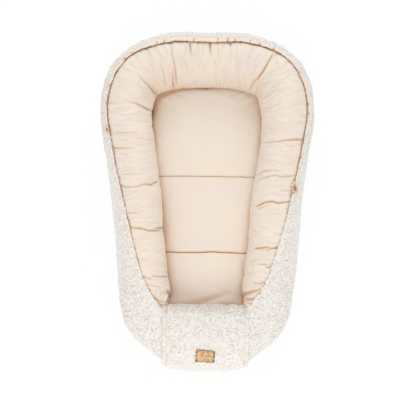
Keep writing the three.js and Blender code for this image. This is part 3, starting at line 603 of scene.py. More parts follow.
def beside_line(places, corners):
    """How far places lie from a line through corners, on which side, and how far along it they are."""
    corners = np.array(corners, float)
    steps = np.linalg.norm(np.diff(corners, axis=0), axis=1)
    reached = np.concatenate([[0], np.cumsum(steps)])
    best = np.full(places.shape[:-1], 1e6)
    side = np.zeros(places.shape[:-1])
    share = np.zeros(places.shape[:-1])
    for first, second, step, before in zip(corners, corners[1:], steps, reached):
        way = (second - first) / step
        offset = places - first
        part = np.clip(offset @ way, 0, step)
        away = np.linalg.norm(offset - part[..., None] * way, axis=-1)
        nearer = away < best
        best = np.where(nearer, away, best)
        side = np.where(nearer, np.sign(offset[..., 0] * way[1] - offset[..., 1] * way[0]), side)
        share = np.where(nearer, (before + part) / reached[-1], share)
    return best, side, share


def shaded_near(distance, reach):
    """1 at an edge and beyond it, fading away from it over the reach."""
    return np.exp(-np.clip(distance, 0, 1) / reach)


def cloth_relief(ring, angle):
    """How far the gathered cloth stands out or in, and how much painted shade each point takes in its folds
    and pleats.
    """
    share = across_share(ring, angle)
    plain = ring.skin(angle, 0)
    picture = seen_at(plain)
    along = length_at(ring.where)[:, None]
    relief = np.zeros(share.shape)
    painted_shade = np.zeros(share.shape)
    draw = np.random.default_rng(11)
    upper = falling(share, 0.97, 0.05)
    for start_depth, end_depth, *corners in fold_picture_paths:
        corners = np.array(corners, float)
        low, high = corners.min(axis=0) - picture_margin, corners.max(axis=0) + picture_margin
        near = np.all((picture > low) & (picture < high), axis=-1) & (upper > 0)
        if not near.any():
            continue
        away, side, part = beside_line(picture[near], corners)
        away = away * metres_per_pixel
        deepest = max(start_depth, end_depth)
        fade = np.clip(0.25 + 1.9 * np.sqrt(np.clip(np.minimum(part + 0.02, 1.02 - part), 0, 1)), 0, 1)
        depth = (start_depth + (end_depth - start_depth) * part) * fade * millimetre * upper[near]
        slim = fold_line * (0.75 + 0.08 * deepest)
        line = np.exp(-np.abs(away / slim) ** 1.5)
        valley = mound(away, 0, fold_valley)
        drawn_in = 0.7 * millimetre * max(0, deepest - strong_fold) * mound(away, 0, fold_reach)
        lip = mound(away * side, 2.3 * slim, 1.2 * slim)
        relief[near] += depth * (0.34 * lip - 0.80 * line - 0.26 * valley) - drawn_in * upper[near] * fade
        # Painted shade along the fold's line, more for deeper folds.
        shaded = np.clip((depth - shaded_fold[0]) / shaded_fold[1], 0, 1.15)
        painted_shade[near] = np.maximum(painted_shade[near], shaded * line)
    ahead = np.gradient(ring.middle[:, 1]) / np.maximum(np.gradient(length_at(ring.where)), 1e-9)
    seen_along = along + ahead[:, None] * looking_down * (plain[..., 2] - roll_radius)
    for _ in range(wrinkle_count):
        middle = draw.uniform(0, lengths[-1])
        centre = draw.beta(1.2, 1.5) * 0.9
        reach = draw.uniform(0.04, 0.20)
        width = draw.uniform(*wrinkle_width)
        depth = draw.uniform(*wrinkle_depth) * (1.25 if centre < 0.2 else 1)
        drift = draw.normal(0, wrinkle_drift)
        rows = np.abs(along[:, 0] - middle) < wrinkle_rows
        if not rows.any():
            continue
        t = (share[rows] - centre) / reach
        window = np.exp(-(t**2) * 2)
        away = seen_along[rows] - middle - drift * t
        line = window * mound(away, 0, width)
        relief[rows] -= depth * line
        # Painted shade along each wrinkle.
        painted_shade[rows] = np.maximum(painted_shade[rows], (depth / wrinkle_shade_depth) * 0.16 * line)
    past_mouth = rising(np.minimum(ring.where, places - ring.where), 2.8, 0.7)[:, None]
    deepest = deepest_at_mouth + (deepest_on_roll - deepest_at_mouth) * past_mouth
    relief = np.where(relief < 0, -deepest * np.tanh(-relief / deepest), relief)
    gathers = np.zeros(len(along))
    place = 0
    while place < lengths[-1]:
        place += gather_pitch * draw.uniform(0.5, 1.5)
        gathers += draw.uniform(0.5, 1.3) * mound(along[:, 0], place, gather_width)
    relief -= gather_depth * gathers[:, None] * shaded_near(share, gather_reach)
    relief -= seam_groove * shaded_near(share, groove_reach)
    # Painted brown shade in the pleats beside the seam.
    painted_shade = np.maximum(painted_shade, 0.55 * gathers[:, None] * shaded_near(share, pleat_shade_reach))
    return relief, np.clip(painted_shade, 0, 1)


lining_columns = 92
bed_columns = 4
hidden_columns = 12
row_spacing = 0.0015
end_gap = 0.003
# The stuffing's swellings: how high, how far apart, and the seed that places them.
swellings = ((0.0011, 0.10, 3), (0.0004, 0.035, 4))
swell_start = 0.1
hidden_depth = 0.0026
cap_shares = (0.0, 0.55, 0.86)
roll_start = place_across(end_gap)
ring = Ring(places_between(roll_start, places - roll_start, row_spacing))
lining_span = np.linspace(0, 1, lining_columns + 1)[None, :]
lining_angles = ring.seam[:, None] + lining_span * (lining_end - ring.seam[:, None])
bed_angles = np.linspace(lining_end, 360 + wall_start, bed_columns + 1)[1:-1]
bed_angles = np.broadcast_to(bed_angles, (len(ring.where), bed_columns - 1))
hidden_span = np.linspace(0, 1, hidden_columns + 1)[None, :]
hidden_angles = 360 + wall_start + hidden_span * (ring.seam[:, None] - wall_start)
roll_angles = np.concatenate([lining_angles, bed_angles, hidden_angles], axis=1)
relief, painted_shade = cloth_relief(ring, lining_angles)
plain = ring.skin(lining_angles, 0)
swell = sum(high * ripple(plain, apart, seed) for high, apart, seed in swellings)
under_ease = falling(lining_angles, lining_end, 26)
lining_out = (relief + swell * rising(lining_span, 0, swell_start)) * under_ease * clear_of_sleeve(ring)
hidden_out = -hidden_depth * rising(np.minimum(hidden_span, 1 - hidden_span), 0, 0.02)
hidden_out = np.repeat(hidden_out, len(ring.where), axis=0)
hidden_out[:, -1] = lining_out[:, 0]
roll_out = np.concatenate([lining_out, np.zeros_like(bed_angles), hidden_out], axis=1)
body = ring.skin(roll_angles, roll_out)


def capped(grid, shares):
    """The grid with its first and last loop drawn in to their middles, by these shares."""
    first, last = grid[0].mean(axis=0), grid[-1].mean(axis=0)
    before = [first + share * (grid[0] - first) for share in shares]
    after = [last + share * (grid[-1] - last) for share in reversed(shares)]
    return np.concatenate([before, grid, after])


roll_points = capped(body, cap_shares)
on_lining = (slice(len(cap_shares), -len(cap_shares)), slice(0, lining_columns + 1))
# The roll's painted shade in its folds, wrinkles and pleats.
painted_shade_mark = np.zeros(roll_points.shape[:2])
painted_shade_mark[on_lining] = painted_shade
# Painted shade along the rim seam on the cotton: uneven, and paler towards the foot.
uneven_seam_shade = np.clip(0.55 + 0.45 * ripple(plain[:, :1], seam_shade_pitch, 12), 0.1, 1)
uneven_seam_shade = uneven_seam_shade * (0.30 + 0.70 * rising(plain[:, :1, 1], seam_pale_until, seam_fade))
seam_shade_mark = np.zeros(roll_points.shape[:2])
seam_shade_mark[on_lining] = np.exp(-lining_span / seam_shade_reach) * uneven_seam_shade
cotton_roll = sewn_grid("cotton_roll", roll_points, {"painted_shade": painted_shade_mark, "rim": seam_shade_mark})


def satin_cotton(name):
    """Thin peach-beige cotton satin: a fine weave and a soft sheen, with painted warm brown shade down in
    its folds and along its rim seam.
    """
    finish = Finish(name, roughness=0.58)
    finish.set("Sheen Weight", 0.25)
    finish.set("Sheen Roughness", 0.4)
    finish.set("Sheen Tint", shade(255, 240, 224))
    finish.set("Subsurface Weight", 0.20)
    finish.set("Subsurface Radius", (1.0, 0.55, 0.22))
    finish.set("Subsurface Scale", 0.006)
    finish.set("Specular IOR Level", 0.35)
    place = finish.place()
    cloudy = finish.noise(place, scale=9)
    cloudy = finish.spread_over(cloudy, 0.35, 0.65)
    base = finish.blend(cloudy, shade(235, 223, 212), shade(238, 225, 210))
    # Painted shade: warm brown wherever a piece marks its folds, tucks or edges, and darker brown along the
    # rim seam.
    fold = finish.mark("painted_shade")
    rim = finish.mark("rim")
    colour = finish.blend(fold * 0.85, base, shade(192, 134, 58))
    colour = finish.blend(rim * 0.6, colour, shade(168, 116, 70))
    finish.set("Base Color", colour)
    woven = {"Vector": place, "Scale": 260, "Distortion": 2}
    weave = finish.node("TexWave", {"bands_direction": "Y"}, woven)
    slub = finish.noise(place, scale=420, detail=3)
    finish.bump(weave * 0.4 + slub * 0.6, strength=0.12, distance=0.0004)
    return finish.material


cotton_satin = satin_cotton("cotton_satin")
cotton_roll.data.materials.append(cotton_satin)
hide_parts("roll_filling", "roll_lining", "roll_end_right", "roll_end_left")
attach(cotton_roll, "nest")

# The outer wall: curly bouclé pile on a knitted back, sewn to the cotton along the rim and to the
# underside along the floor. Its curls are a few millimetres wide and stand a few millimetres tall.
wall_back = 0.0015
wall_front = 0.0012
casing_width = 0.0128
casing_end_share = 0.45
seam_gap = 0.0004
curl_size = 0.0058
curl_height = 0.0050
fine_curl_share = 0.58
# What makes the curls uneven, and how far apart: a warp of their places, a sway, and taller tufts.
curl_warp = 0.0014
warp_pitch = 0.011
sway_pitch = 0.02
tall_pitch = 0.030
wall_spacing = 0.0015
wall_columns = 112
back_columns = 9
# The curls hang over the seam beside the sleeve and along the right side, where they stand up in tufts.
end_overlap = 0.0020
side_overlap = 0.0024
side_lift = 0.0022
wall_unevenness = 0.0010
tuft_size = 0.012
# The wall's lowest rows, as heights above the floor and how far each stands out.
skirt_heights = np.array([0.0024, 0.0054, 0.0086, 0.0116])
skirt_out = np.array([-0.0012, 0.0002, 0.0008, 0.0012])
back_skirt_heights = (0.0112, 0.0036)
back_skirt_out = 0.0009
# Low at the foot the pile lies smoother and takes less painted shade, and along both flanks it takes painted
# light: a lighter tone and less painted shade. Each is a place along the nest or a height, and how far it
# takes to fade.
low_pile_along = (-0.27, 0.08)
low_pile_top = (0.088, 0.035)
flank_start = (-0.27, 0.06)
flank_end = (0.13, 0.08)
flank_top = (0.115, 0.03)


def curl_centres(points, size, seed):
    """How far points lie from the nearest curl and the next one, in curl sizes, and the curl's share."""
    draw = np.random.default_rng(seed)
    around = 64
    table = draw.random((around, around, around, 4))
    cells = np.floor(points / size).astype(int)
    nearest = np.full(points.shape[:-1], 9.0)
    second = np.full(points.shape[:-1], 9.0)
    own = np.zeros(points.shape[:-1])
    for offset in itertools.product((-1, 0, 1), repeat=3):
        cell = cells + np.array(offset)
        feature = table[tuple(np.moveaxis(cell % around, -1, 0))]
        away = np.linalg.norm(cell + feature[..., :3] - points / size, axis=-1)
        closer = away < nearest
        second = np.where(closer, nearest, np.minimum(second, away))
        own = np.where(closer, feature[..., 3], own)
        nearest = np.where(closer, away, nearest)
    return nearest, second, own


def curled(points, height, seed, size=curl_size):
    """A skin pushed out into curls, with how much painted shade each point takes between curls, and its
    curl's share.
    """
    along = np.gradient(points, axis=0)
    across = np.gradient(points, axis=1)
    normal = np.cross(along, across)
    normal /= np.maximum(np.linalg.norm(normal, axis=-1, keepdims=True), 1e-12)
    warp = np.stack([ripple(points, warp_pitch, seed + k) for k in (1, 2, 3)], axis=-1) * curl_warp
    near, second, own = curl_centres(points + warp, size, seed)
    fine_near, fine_second, fine_own = curl_centres(points - warp, size * fine_curl_share, seed + 9)
    dome = np.sqrt(np.clip(1 - (near / 0.80) ** 2, 0, 1)) * (0.60 + 0.40 * own)
    small = np.sqrt(np.clip(1 - (fine_near / 0.85) ** 2, 0, 1)) * (0.5 + 0.5 * fine_own)
    tufts = 0.5 + 0.5 * ripple(points, tall_pitch, seed + 4)
    rise = 0.52 * dome + 0.30 * small + 0.18 * tufts
    furrow = np.clip(1 - (second - near) / 0.20, 0, 1)
    fine_furrow = np.clip(1 - (fine_second - fine_near) / 0.24, 0, 1)
    # Painted shade: how much the pile's colour darkens between and below the curls.
    deep = np.clip(0.55 * furrow + 0.38 * fine_furrow + 0.30 * (0.6 - rise), 0, 1)
    sway = np.stack([ripple(points, sway_pitch, seed + k) for k in (5, 6, 7)], axis=-1)
    moved = points + normal * (height * rise)[..., None] + sway * (0.16 * height * rise)[..., None]
    return moved, deep, own


def casing_width_at(where):
    """The casing is widest behind the head, and narrows towards its two ends."""
    from_foot = np.minimum(where, places - where)
    return casing_width * (casing_end_share + (1 - casing_end_share) * rising(from_foot, 8.0, 2.0))


def sewn_down(where):
    """1 where the casing lies between the seam and the wall, 0 where the wall meets the seam itself."""
    past_end = 0.09
    return rising(where, casing_start - past_end, 0.12) * falling(where, casing_end + past_end, 0.12)


ring = Ring(places_between(roll_start, places - roll_start, wall_spacing))
under_casing = sewn_down(ring.where)
wall_top = ring.seam - ring.spread(seam_gap + under_casing * (casing_width_at(ring.where) + seam_gap))
from_foot = np.minimum(ring.where, places - ring.where)
over_seam = end_overlap * falling(from_foot, 3.2, 0.5) * rising(from_foot, 1.6, 0.4)
fringe = falling(ring.where, 5.6, 0.6) * rising(ring.where, 2.0, 0.5)
tufted = ripple(np.pad(ring.middle, ((0, 0), (0, 1))), tuft_size, 16)
over_seam = np.maximum(over_seam, side_overlap * fringe * (1 + 0.8 * tufted))
wall_top = wall_top + ring.spread(over_seam + wall_unevenness * tufted * under_casing)
span = np.linspace(0, 1, wall_columns)[None, :]
wall_angles = wall_start + span * (wall_top[:, None] - wall_start)
lifted = side_lift * rising(span, 0.94, 0.05) * np.clip(over_seam / side_overlap, 0, 1.4)[:, None]
outer = ring.skin(wall_angles, wall_front + lifted)
foot_reach = (ring.radius * ring.lean - ring.slim) * math.cos(math.radians(wall_start))


def ring_at(ring, reach, height):
    """A point of every section, this far out from the ring's middle line and this high."""
    across = ring.middle + ring.outward * np.broadcast_to(reach, ring.radius.shape)[:, None]
    return np.concatenate([across, np.broadcast_to(height, ring.radius.shape)[:, None]], axis=1)


skirt = np.stack([ring_at(ring, foot_reach + o, h) for o, h in zip(skirt_out, skirt_heights)], axis=1)
outer = np.concatenate([skirt, outer], axis=1)
top_thin = np.clip((1 - np.linspace(0, 1, outer.shape[1])) * 14, 0.25, 1)[None, :]
smooth_low = falling(outer[..., 1], *low_pile_along) * falling(outer[..., 2], *low_pile_top)
outer, deep, own = curled(outer, curl_height * top_thin * (1 - 0.3 * smooth_low), 21)
outer[..., 2] = np.maximum(outer[..., 2], 0.0)
# Painted light along both flanks, and less painted shade low at the foot.
lit_flank = rising(outer[..., 1], *flank_start) * falling(outer[..., 1], *flank_end)
lit_flank = lit_flank * falling(outer[..., 2], *flank_top)
deep = deep * (1 - 0.15 * smooth_low) * (1 - 0.45 * lit_flank)
own = own + (1 - own) * 0.6 * lit_flank
back_span = np.linspace(1, 0, back_columns)[None, :]
back_angles = wall_start + back_span * (wall_top[:, None] - wall_start)
inner = ring.skin(back_angles, -wall_back)
inner_skirt = np.stack([ring_at(ring, foot_reach + back_skirt_out, h) for h in back_skirt_heights], axis=1)
wall = capped(np.concatenate([outer, inner, inner_skirt, outer[:, :1]], axis=1), (0.0,))
behind = wall.shape[1] - outer.shape[1]
marks = {"deep": np.pad(deep, ((1, 1), (0, behind))), "tone": np.pad(own, ((1, 1), (0, behind)))}
curly_wall = sewn_grid("curly_wall", wall, marks)


def curly_pile(name):
    """Off-white bouclé: light curls, and greyer, pinker shade down between them."""
    finish = Finish(name, roughness=0.95)
    finish.set("Sheen Weight", 0.35)
    finish.set("Sheen Roughness", 0.5)
    finish.set("Specular IOR Level", 0.15)
    place = finish.place()
    deep = finish.mark("deep")
    tone = finish.mark("tone")
    yarn = finish.noise(place, scale=300, detail=4, roughness=0.7)
    patch = finish.noise(place, scale=14)
    light = finish.blend(tone, shade(233, 227, 220), shade(242, 238, 233))
    pinch = finish.spread_over(deep + (yarn - 0.5) * 0.5, 0.32, 1.12)
    dark = finish.blend(patch, shade(188, 162, 138), shade(184, 170, 155))
    finish.set("Base Color", finish.blend(pinch, light, dark))
    knots = finish.node("TexVoronoi", None, {"Vector": place, "Scale": 330})
    finish.bump(knots * 0.6 + yarn * 0.4, strength=0.55, distance=0.0016)
    return finish.material


boucle = curly_pile("curly_pile")
curly_wall.data.materials.append(boucle)
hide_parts("outer_wall")
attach(curly_wall, "nest")

# The foot sleeve: a band of the same pile round both ends of the roll, lined with cotton, with a sewn
# hem near each edge that presses a groove into the curls.
sleeve_ease = 0.0006
wall_pile = 0.004
pile_fade = 30
layer_gap = 0.0003
sleeve_lining_thickness = 0.0012
sleeve_cloth = 0.0075
curl_room = 0.0030
beside_middle = 0.0001
sleeve_curl_size = 0.0048
sleeve_curl_height = 0.0046
sleeve_spacing = 0.0015
around_count = 336
sleeve_edge = place_across(sleeve_half)
hem_inset = 0.009
hem_place = sleeve_half - hem_inset
hem_groove = 0.0022
hem_depth = 0.0020
edge_roll = 0.004
edge_depth = 0.0018
# The pile stands fuller over the top, lies pressed on the floor, and its lower corners turn in.
top_fluff = 0.0054
top_fluff_angle = 150
floor_press = 0.0016
press_fade = 0.006
uneven_pitch = 0.02
corner_start = 0.078
corner_in = 0.003
roll_middle_height = 0.075


def sleeve_places(spacing):
    """Places across the sleeve, from its left edge over the foot to its right one."""
    half = places_between(place_across(beside_middle), sleeve_edge, spacing)
    return np.concatenate([-half[::-1], half])


def sleeve_stand(ring, angle):
    """The sleeve stands on the wall's pile outside, and lies on the bare cotton past the seam."""
    bare = np.clip((np.minimum(angle, lining_end) - ring.seam[:, None]) / pile_fade, 0, 1)
    return sleeve_ease + wall_pile * np.where(angle > lining_end, 1, 1 - bare)


def band(ring, angle, out, floor):
    """A layer of the sleeve round the roll's foot, this far out from its inner side."""
    return ring.skin(angle, sleeve_stand(ring, angle) + out, floor)


ring = Ring(sleeve_places(sleeve_spacing), bulged=False)
turn_angles = wall_start + np.linspace(0, 360, around_count + 1)[None, :]
turn_angles = np.broadcast_to(turn_angles, (len(ring.where), around_count + 1))
# Painted shade over the sleeve's top and back, which face away from the foot lamp.
painted_top_shade = 0.34 * rising(turn_angles, 105, 40) * falling(turn_angles, 215, 20)
inside_floor = roll_floor - layer_gap
middle_floor = inside_floor - sleeve_lining_thickness
cloth_floor = middle_floor - layer_gap
across = ring.middle[:, 0]
hem_press = mound(np.abs(across), hem_place, hem_groove)
edge_round = np.sqrt(falling(np.abs(across), sleeve_half, edge_roll))
uneven = 0.12 * ripple(np.pad(across[:, None], ((0, 0), (0, 2))), uneven_pitch, 44)[:, None]
fluffed = top_fluff * mound(turn_angles, top_fluff_angle, 30) * (1 + uneven)
outer = band(ring, turn_angles, sleeve_cloth - curl_room + fluffed, 0.0)
cornered = corner_in * rising(np.abs(across), corner_start, sleeve_half - corner_start)[:, None] ** 2
outer[..., 1] += cornered * np.clip(np.cos(np.radians(turn_angles)), 0, 1)
outer[..., 2] = np.maximum(outer[..., 2], floor_press)
pressed_flat = np.clip((outer[..., 2] - floor_press) / press_fade, 0.25, 1)
low_down = falling(outer[..., 2], *low_pile_top) * (turn_angles < 100)
sleeve_height = sleeve_curl_height * ((0.45 + 0.55 * edge_round) * (1 - 0.75 * hem_press))[:, None]
sleeve_height = sleeve_height * pressed_flat * (1 - 0.20 * low_down)
outer, deep, own = curled(outer, sleeve_height, 41, sleeve_curl_size)
# Less painted shade low on the front, where the light falls, and the painted shade over the top.
deep = deep * (1 - 0.72 * low_down) + painted_top_shade
outer[:, -1] = outer[:, 0]
sink = (hem_depth * hem_press + edge_depth * (1 - edge_round))[:, None]
inward = np.pad(ring.middle, ((0, 0), (0, 1)), constant_values=roll_middle_height)[:, None, :] - outer
inward[..., 0] = 0
inward /= np.linalg.norm(inward, axis=-1, keepdims=True)
outer = outer + inward * sink[..., None]
outer[..., 2] = np.maximum(outer[..., 2], 0.0)
back_places = np.linspace(sleeve_edge * 0.66, -sleeve_edge * 0.66, 5)
back_ring = Ring(np.concatenate([[sleeve_edge], back_places, [-sleeve_edge]]), bulged=False)
back_angles = np.broadcast_to(turn_angles[:1], (len(back_ring.where), around_count + 1))
inner = band(back_ring, back_angles, sleeve_lining_thickness + layer_gap, cloth_floor)
sleeve = np.concatenate([outer, inner, outer[:1]])
no_mark = np.zeros(inner.shape[:2])
marks = {"deep": np.concatenate([deep, no_mark, deep[:1]]), "tone": np.concatenate([own, no_mark, own[:1]])}
curly_sleeve = sewn_grid("curly_sleeve", sleeve, marks)
curly_sleeve.data.materials.append(boucle)
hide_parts("foot_sleeve")
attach(curly_sleeve, "nest")

# The sleeve's lining: one thin sheet of the cotton inside the band, joined to it along both edges.
lining_spacing = 0.006
lining_around = 97
lining_ring = Ring(sleeve_places(lining_spacing), bulged=False)
lining_turn = wall_start + np.linspace(0, 360, lining_around)[None, :]
lining_turn = np.broadcast_to(lining_turn, (len(lining_ring.where), lining_around))
lining_outer = band(lining_ring, lining_turn, sleeve_lining_thickness, middle_floor)
lining_inner = band(lining_ring, lining_turn, 0, inside_floor)[::-1]
lining_points = np.concatenate([lining_outer, lining_inner, lining_outer[:1]])
sleeve_lining = sewn_grid("sleeve_lining", lining_points)
sleeve_lining.data.materials.append(cotton_satin)
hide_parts("foot_sleeve_lining")
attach(sleeve_lining, "nest")

# The casing: a narrow gathered tube of the same cotton outside the rim seam, round the head half of the
# nest. The elastic in it draws the rim together, and each end is drawn into a small puckered tuft.
casing_depth = 0.0085
casing_stand = 0.0021
casing_steps = 20
casing_spacing = 0.0016
flute_depth = 0.10
flute_turns = 3
flute_twist = 420
# The elastic pulls in tucks: deep ones with painted brown shade here and there, and small ones close
# together.
tuck_pitch = 0.040
tuck_width = 0.0021
small_tuck_pitch = 0.0085
small_tuck_width = 0.0018
tuft_length = 0.006
casing_uneven_pitch = 0.045
casing_slide = 0.0007
casing_slide_pitch = 0.03


def rim_frame(ring, down, out):
    """A line along the roll, this far below the seam, with its outward and its upward directions."""
    angle = ring.seam - ring.spread(down)
    turn = np.radians(angle)[:, None]
    flat = np.pad(ring.outward, ((0, 0), (0, 1)))
    rise = np.array([[0, 0, 1]])
    point = ring.skin(angle[:, None], np.broadcast_to(out, ring.seam.shape)[:, None])[:, 0]
    return point, flat * np.cos(turn) + rise * np.sin(turn), rise * np.cos(turn) - flat * np.sin(turn)


ring = Ring(places_between(casing_start, casing_end, casing_spacing))
casing_wide = casing_width_at(ring.where)
point, out_way, side_way = rim_frame(ring, casing_wide / 2 + seam_gap, casing_stand)
along = length_at(ring.where)
draw = np.random.default_rng(77)
pinch = np.zeros(len(along))
tuck_shade = np.zeros(len(along))
place = along[0]
while place < along[-1]:
    place += tuck_pitch * draw.uniform(0.3, 1.8)
    near = np.exp(-np.abs((along - place) / tuck_width) ** 1.5)
    pinch = np.maximum(pinch, draw.uniform(0.7, 1) * near)
    tuck_shade = np.maximum(tuck_shade, draw.uniform(0.6, 1.2) * near)
place = along[0]
while place < along[-1]:
    place += small_tuck_pitch * draw.uniform(0.6, 1.5)
    pinch = np.maximum(pinch, draw.uniform(0.15, 0.42) * mound(along, place, small_tuck_width))
end_distance = np.minimum(along - along[0], along[-1] - along)
tuft = mound(end_distance, 0, tuft_length)
turn = np.linspace(0, 2 * math.pi, casing_steps + 1)[None, :]
flute = 1 + flute_depth * np.sin(turn * flute_turns + along[:, None] * flute_twist) * (1 - pinch)[:, None]
uneven = 0.16 * ripple(point, casing_uneven_pitch, 15)
wide = (casing_wide / 2 * (1 + uneven - 0.22 * pinch + 0.18 * tuft))[:, None] * flute
flatness = casing_depth / casing_width
deep_half = (casing_wide / 2 * flatness * (1 - 0.62 * pinch + 0.35 * tuft))[:, None] * flute
slide = casing_slide * ripple(point, casing_slide_pitch, 5)[:, None, None] * side_way[:, None, :]
casing = point[:, None, :] + side_way[:, None, :] * (wide * np.cos(turn))[..., None] + slide
casing = casing + out_way[:, None, :] * (deep_half * np.sin(turn))[..., None]
ends = []
for row, share in ((0, 0.0), (0, 0.7), (-1, 0.7), (-1, 0.0)):
    ends.append(point[row] + (casing[row] - point[row]) * share)
casing = np.concatenate([ends[:2], casing, ends[2:]])
# Painted shade in the deep tucks.
painted_shade_mark = np.pad(np.broadcast_to(tuck_shade[:, None], (len(tuck_shade), casing_steps + 1)), ((2, 2), (0, 0)))
rim_casing = sewn_grid("gathered_casing", casing, {"painted_shade": painted_shade_mark * 0.9, "rim": painted_shade_mark * 0})
rim_casing.data.materials.append(cotton_satin)
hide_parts("rim_casing")
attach(rim_casing, "nest")

# The puckers: where the elastic ends are caught, the cloth is drawn into a little fan of pleats.
pucker_pleats = 9
pucker_stand = 0.0036
pleat_height = 0.0026
# The fan's loops, from its middle over its rim to its back: how far each reaches, and how high it stands.
fan_share = np.array([0, 0.25, 0.55, 0.85, 1.0, 0.93, 0.6, 0.0])[:, None]
fan_height = np.array([-0.0004, 0.0018, 0.0030, 0.0026, 0.0010, -0.0012, -0.0024, -0.0026])[:, None]
fan_back = -0.001
for side, where, reach, down in (("right", casing_start, 0.0155, 0.08), ("left", casing_end, 0.0095, 0.20)):
    point, out_way, side_way = rim_frame(Ring([where]), casing_width * down, pucker_stand)
    forward = np.cross(out_way[0], side_way[0])
    turn = np.linspace(0, 2 * math.pi, 12 * pucker_pleats + 1)[None, :]
    pleat = np.cos(turn * pucker_pleats + 1.5 * fan_share)
    radius = reach * fan_share * (1 + 0.22 * pleat * fan_share + 0.16 * np.cos(2 * turn + 1))
    height = fan_height + pleat_height * pleat * fan_share
    tuft = point[0] + (radius * np.cos(turn))[..., None] * forward * 0.85
    tuft = tuft + (radius * np.sin(turn))[..., None] * side_way[0] * 0.75
    tuft = tuft + height[..., None] * out_way[0]
    # Painted shade in the pleats' valleys and over the fan's middle.
    mark = np.clip(0.5 - 0.5 * pleat, 0, 1) ** 1.5 * (1.1 - 0.4 * fan_share) * (fan_height > fan_back)
    mark = np.maximum(mark, fan_share < 0.3)
    pucker = sewn_grid("pucker_" + side, tuft, {"painted_shade": mark, "rim": mark})
    pucker.data.materials.append(cotton_satin)
    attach(pucker, "nest")

# The rim seam: brown thread sewn through all layers where the cotton meets the casing or the pile. It
# pulls in at each stitch, and the shade there is painted on the thread as a fine line of darker dots.
stitch_pitch = 0.0042
seam_spacing = 0.0011
seam_start = sleeve_edge * 0.97
seam_stand = 0.0007
seam_radius = 0.00064
# Pale and even beside the pad, thinner with thick dots towards the head, and dotted along the left side.
head_back = (0.335, 0.03)
left_side_start = (-0.17, 0.08)
middle_fade = 0.05
dot_pitch = 0.006
sparse_dot_pitch = 0.012
side_dot_pitch = 0.011
small_wander = 0.0009
left_wander = 0.0004
wide_wander = 0.0012
wide_wander_pitch = 0.05
seam_thinner = 0.00014
pale_dot_radius = 0.00014
head_dot_radius = 0.00034
side_dot_radius = 0.00022
ring = Ring(places_between(seam_start, places - seam_start, seam_spacing))
seam_point, out_way, side_way = rim_frame(ring, seam_gap / 2, seam_stand)
along = length_at(ring.where)
stitch = np.abs(np.sin(math.pi * along / stitch_pitch + 0.8 * ripple(seam_point, wide_wander_pitch, 8)))
at_head = rising(seam_point[:, 1], seam_pale_until, seam_fade)
close = np.clip(stitch * 1.7 - 0.55 + 0.35 * ripple(seam_point, dot_pitch, 10), 0, 1)
sparse = np.clip(ripple(seam_point, sparse_dot_pitch, 13) * 2.2 - 1.6, 0, 1)
dot = np.clip(sparse + close * rising(seam_point[:, 1], *head_back), 0, 1)
left_side = falling(seam_point[:, 0], 0, middle_fade) * rising(seam_point[:, 1], *left_side_start)
side_dot = np.clip(ripple(seam_point, side_dot_pitch, 17) * 2.0 - 0.5, 0, 1) * left_side
seam_thick = seam_radius - seam_thinner * at_head + side_dot_radius * side_dot
seam_thick += (pale_dot_radius + head_dot_radius * at_head) * dot
wander = (small_wander + left_wander * left_side) * ripple(seam_point, sparse_dot_pitch, 6)
wander += wide_wander * ripple(seam_point, wide_wander_pitch, 7)
seam_point = seam_point + side_way * wander[:, None]


def thread_tube(spine, side_way, out_way, thick, steps, height=1.0):
    """A thread round a line, this thick at each of the line's points and closed at both ends."""
    turn = np.linspace(0, 2 * math.pi, steps + 1)[None, :, None]
    round_line = side_way[..., None, :] * np.cos(turn) + out_way[..., None, :] * np.sin(turn) * height
    tube = spine[:, None, :] + round_line * thick[:, None, None]
    tube[0] = spine[0]
    tube[-1] = spine[-1]
    return tube


seam = thread_tube(seam_point, side_way, out_way, seam_thick, 8, 1.1)
# Painted shade on the thread at its dots, darkest towards the head and along the left side.
darker = np.maximum(dot * (0.10 + 0.90 * at_head), left_side * (0.22 + 0.62 * side_dot))
rim_seam = sewn_grid("rim_seam", seam, {"stitch": (1 - darker)[:, None]})


def sewing_thread(name, light, dark):
    """Twisted polyester thread, with painted shade where a stitch goes down into the cloth."""
    finish = Finish(name, roughness=0.6)
    finish.set("Sheen Weight", 0.2)
    place = finish.place()
    stitch = finish.mark("stitch")
    patch = finish.noise(place, scale=60)
    lit = finish.spread_over(stitch * 0.5 + patch * 0.7, 0.25, 0.85)
    finish.set("Base Color", finish.blend(lit, dark, light))
    twist = finish.node("TexWave", {"bands_direction": "DIAGONAL"}, {"Vector": place, "Scale": 700})
    finish.bump(twist, strength=0.3, distance=0.0002)
    return finish.material


brown_thread = sewing_thread("brown_thread", shade(214, 146, 80), shade(100, 56, 22))
rim_seam.data.materials.append(brown_thread)
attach(rim_seam, "nest")

# The pad: a flat quilted cushion of the same cotton satin over wadding, sewn right through along two
# lines, so that it swells into three sections. It lies loose on the floor of the nest.
pad_equator = 0.026
pad_crown = 0.0205
pad_channel = 0.0105
pad_tuck = 0.009
pad_foot_round = 0.010
pad_low, pad_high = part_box("pad_cover_bottom")[0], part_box("pad_cover_top")[1]
pad_head_tuck = 0.020
pad_high.y += pad_head_tuck
channel_nodes = ("pad_stitching_foot", "pad_stitching_head")
channel_places = [(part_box(node)[0].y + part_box(node)[1].y) / 2 for node in channel_nodes]
channel_wander = (0.0006, 0.0001)
pad_columns = 66
pad_row_spacing = 0.004
# How far the crown takes to rise at the foot, at the head and beside a sewn line.
foot_rise = 0.030
head_rise = 0.012
line_rise = 0.055
line_held = 0.004
start_share = 0.86
end_round = 0.014


def pad_line(tuck):
    """A line along the roll's inner side, this far under it, as places along the nest and half widths."""
    edge = edge_ring.middle + edge_ring.outward * (tuck - edge_ring.radius * edge_ring.inner)[:, None]
    return np.maximum.accumulate(edge[:, 1]) + np.arange(len(edge)) * 1e-9, edge[:, 0]


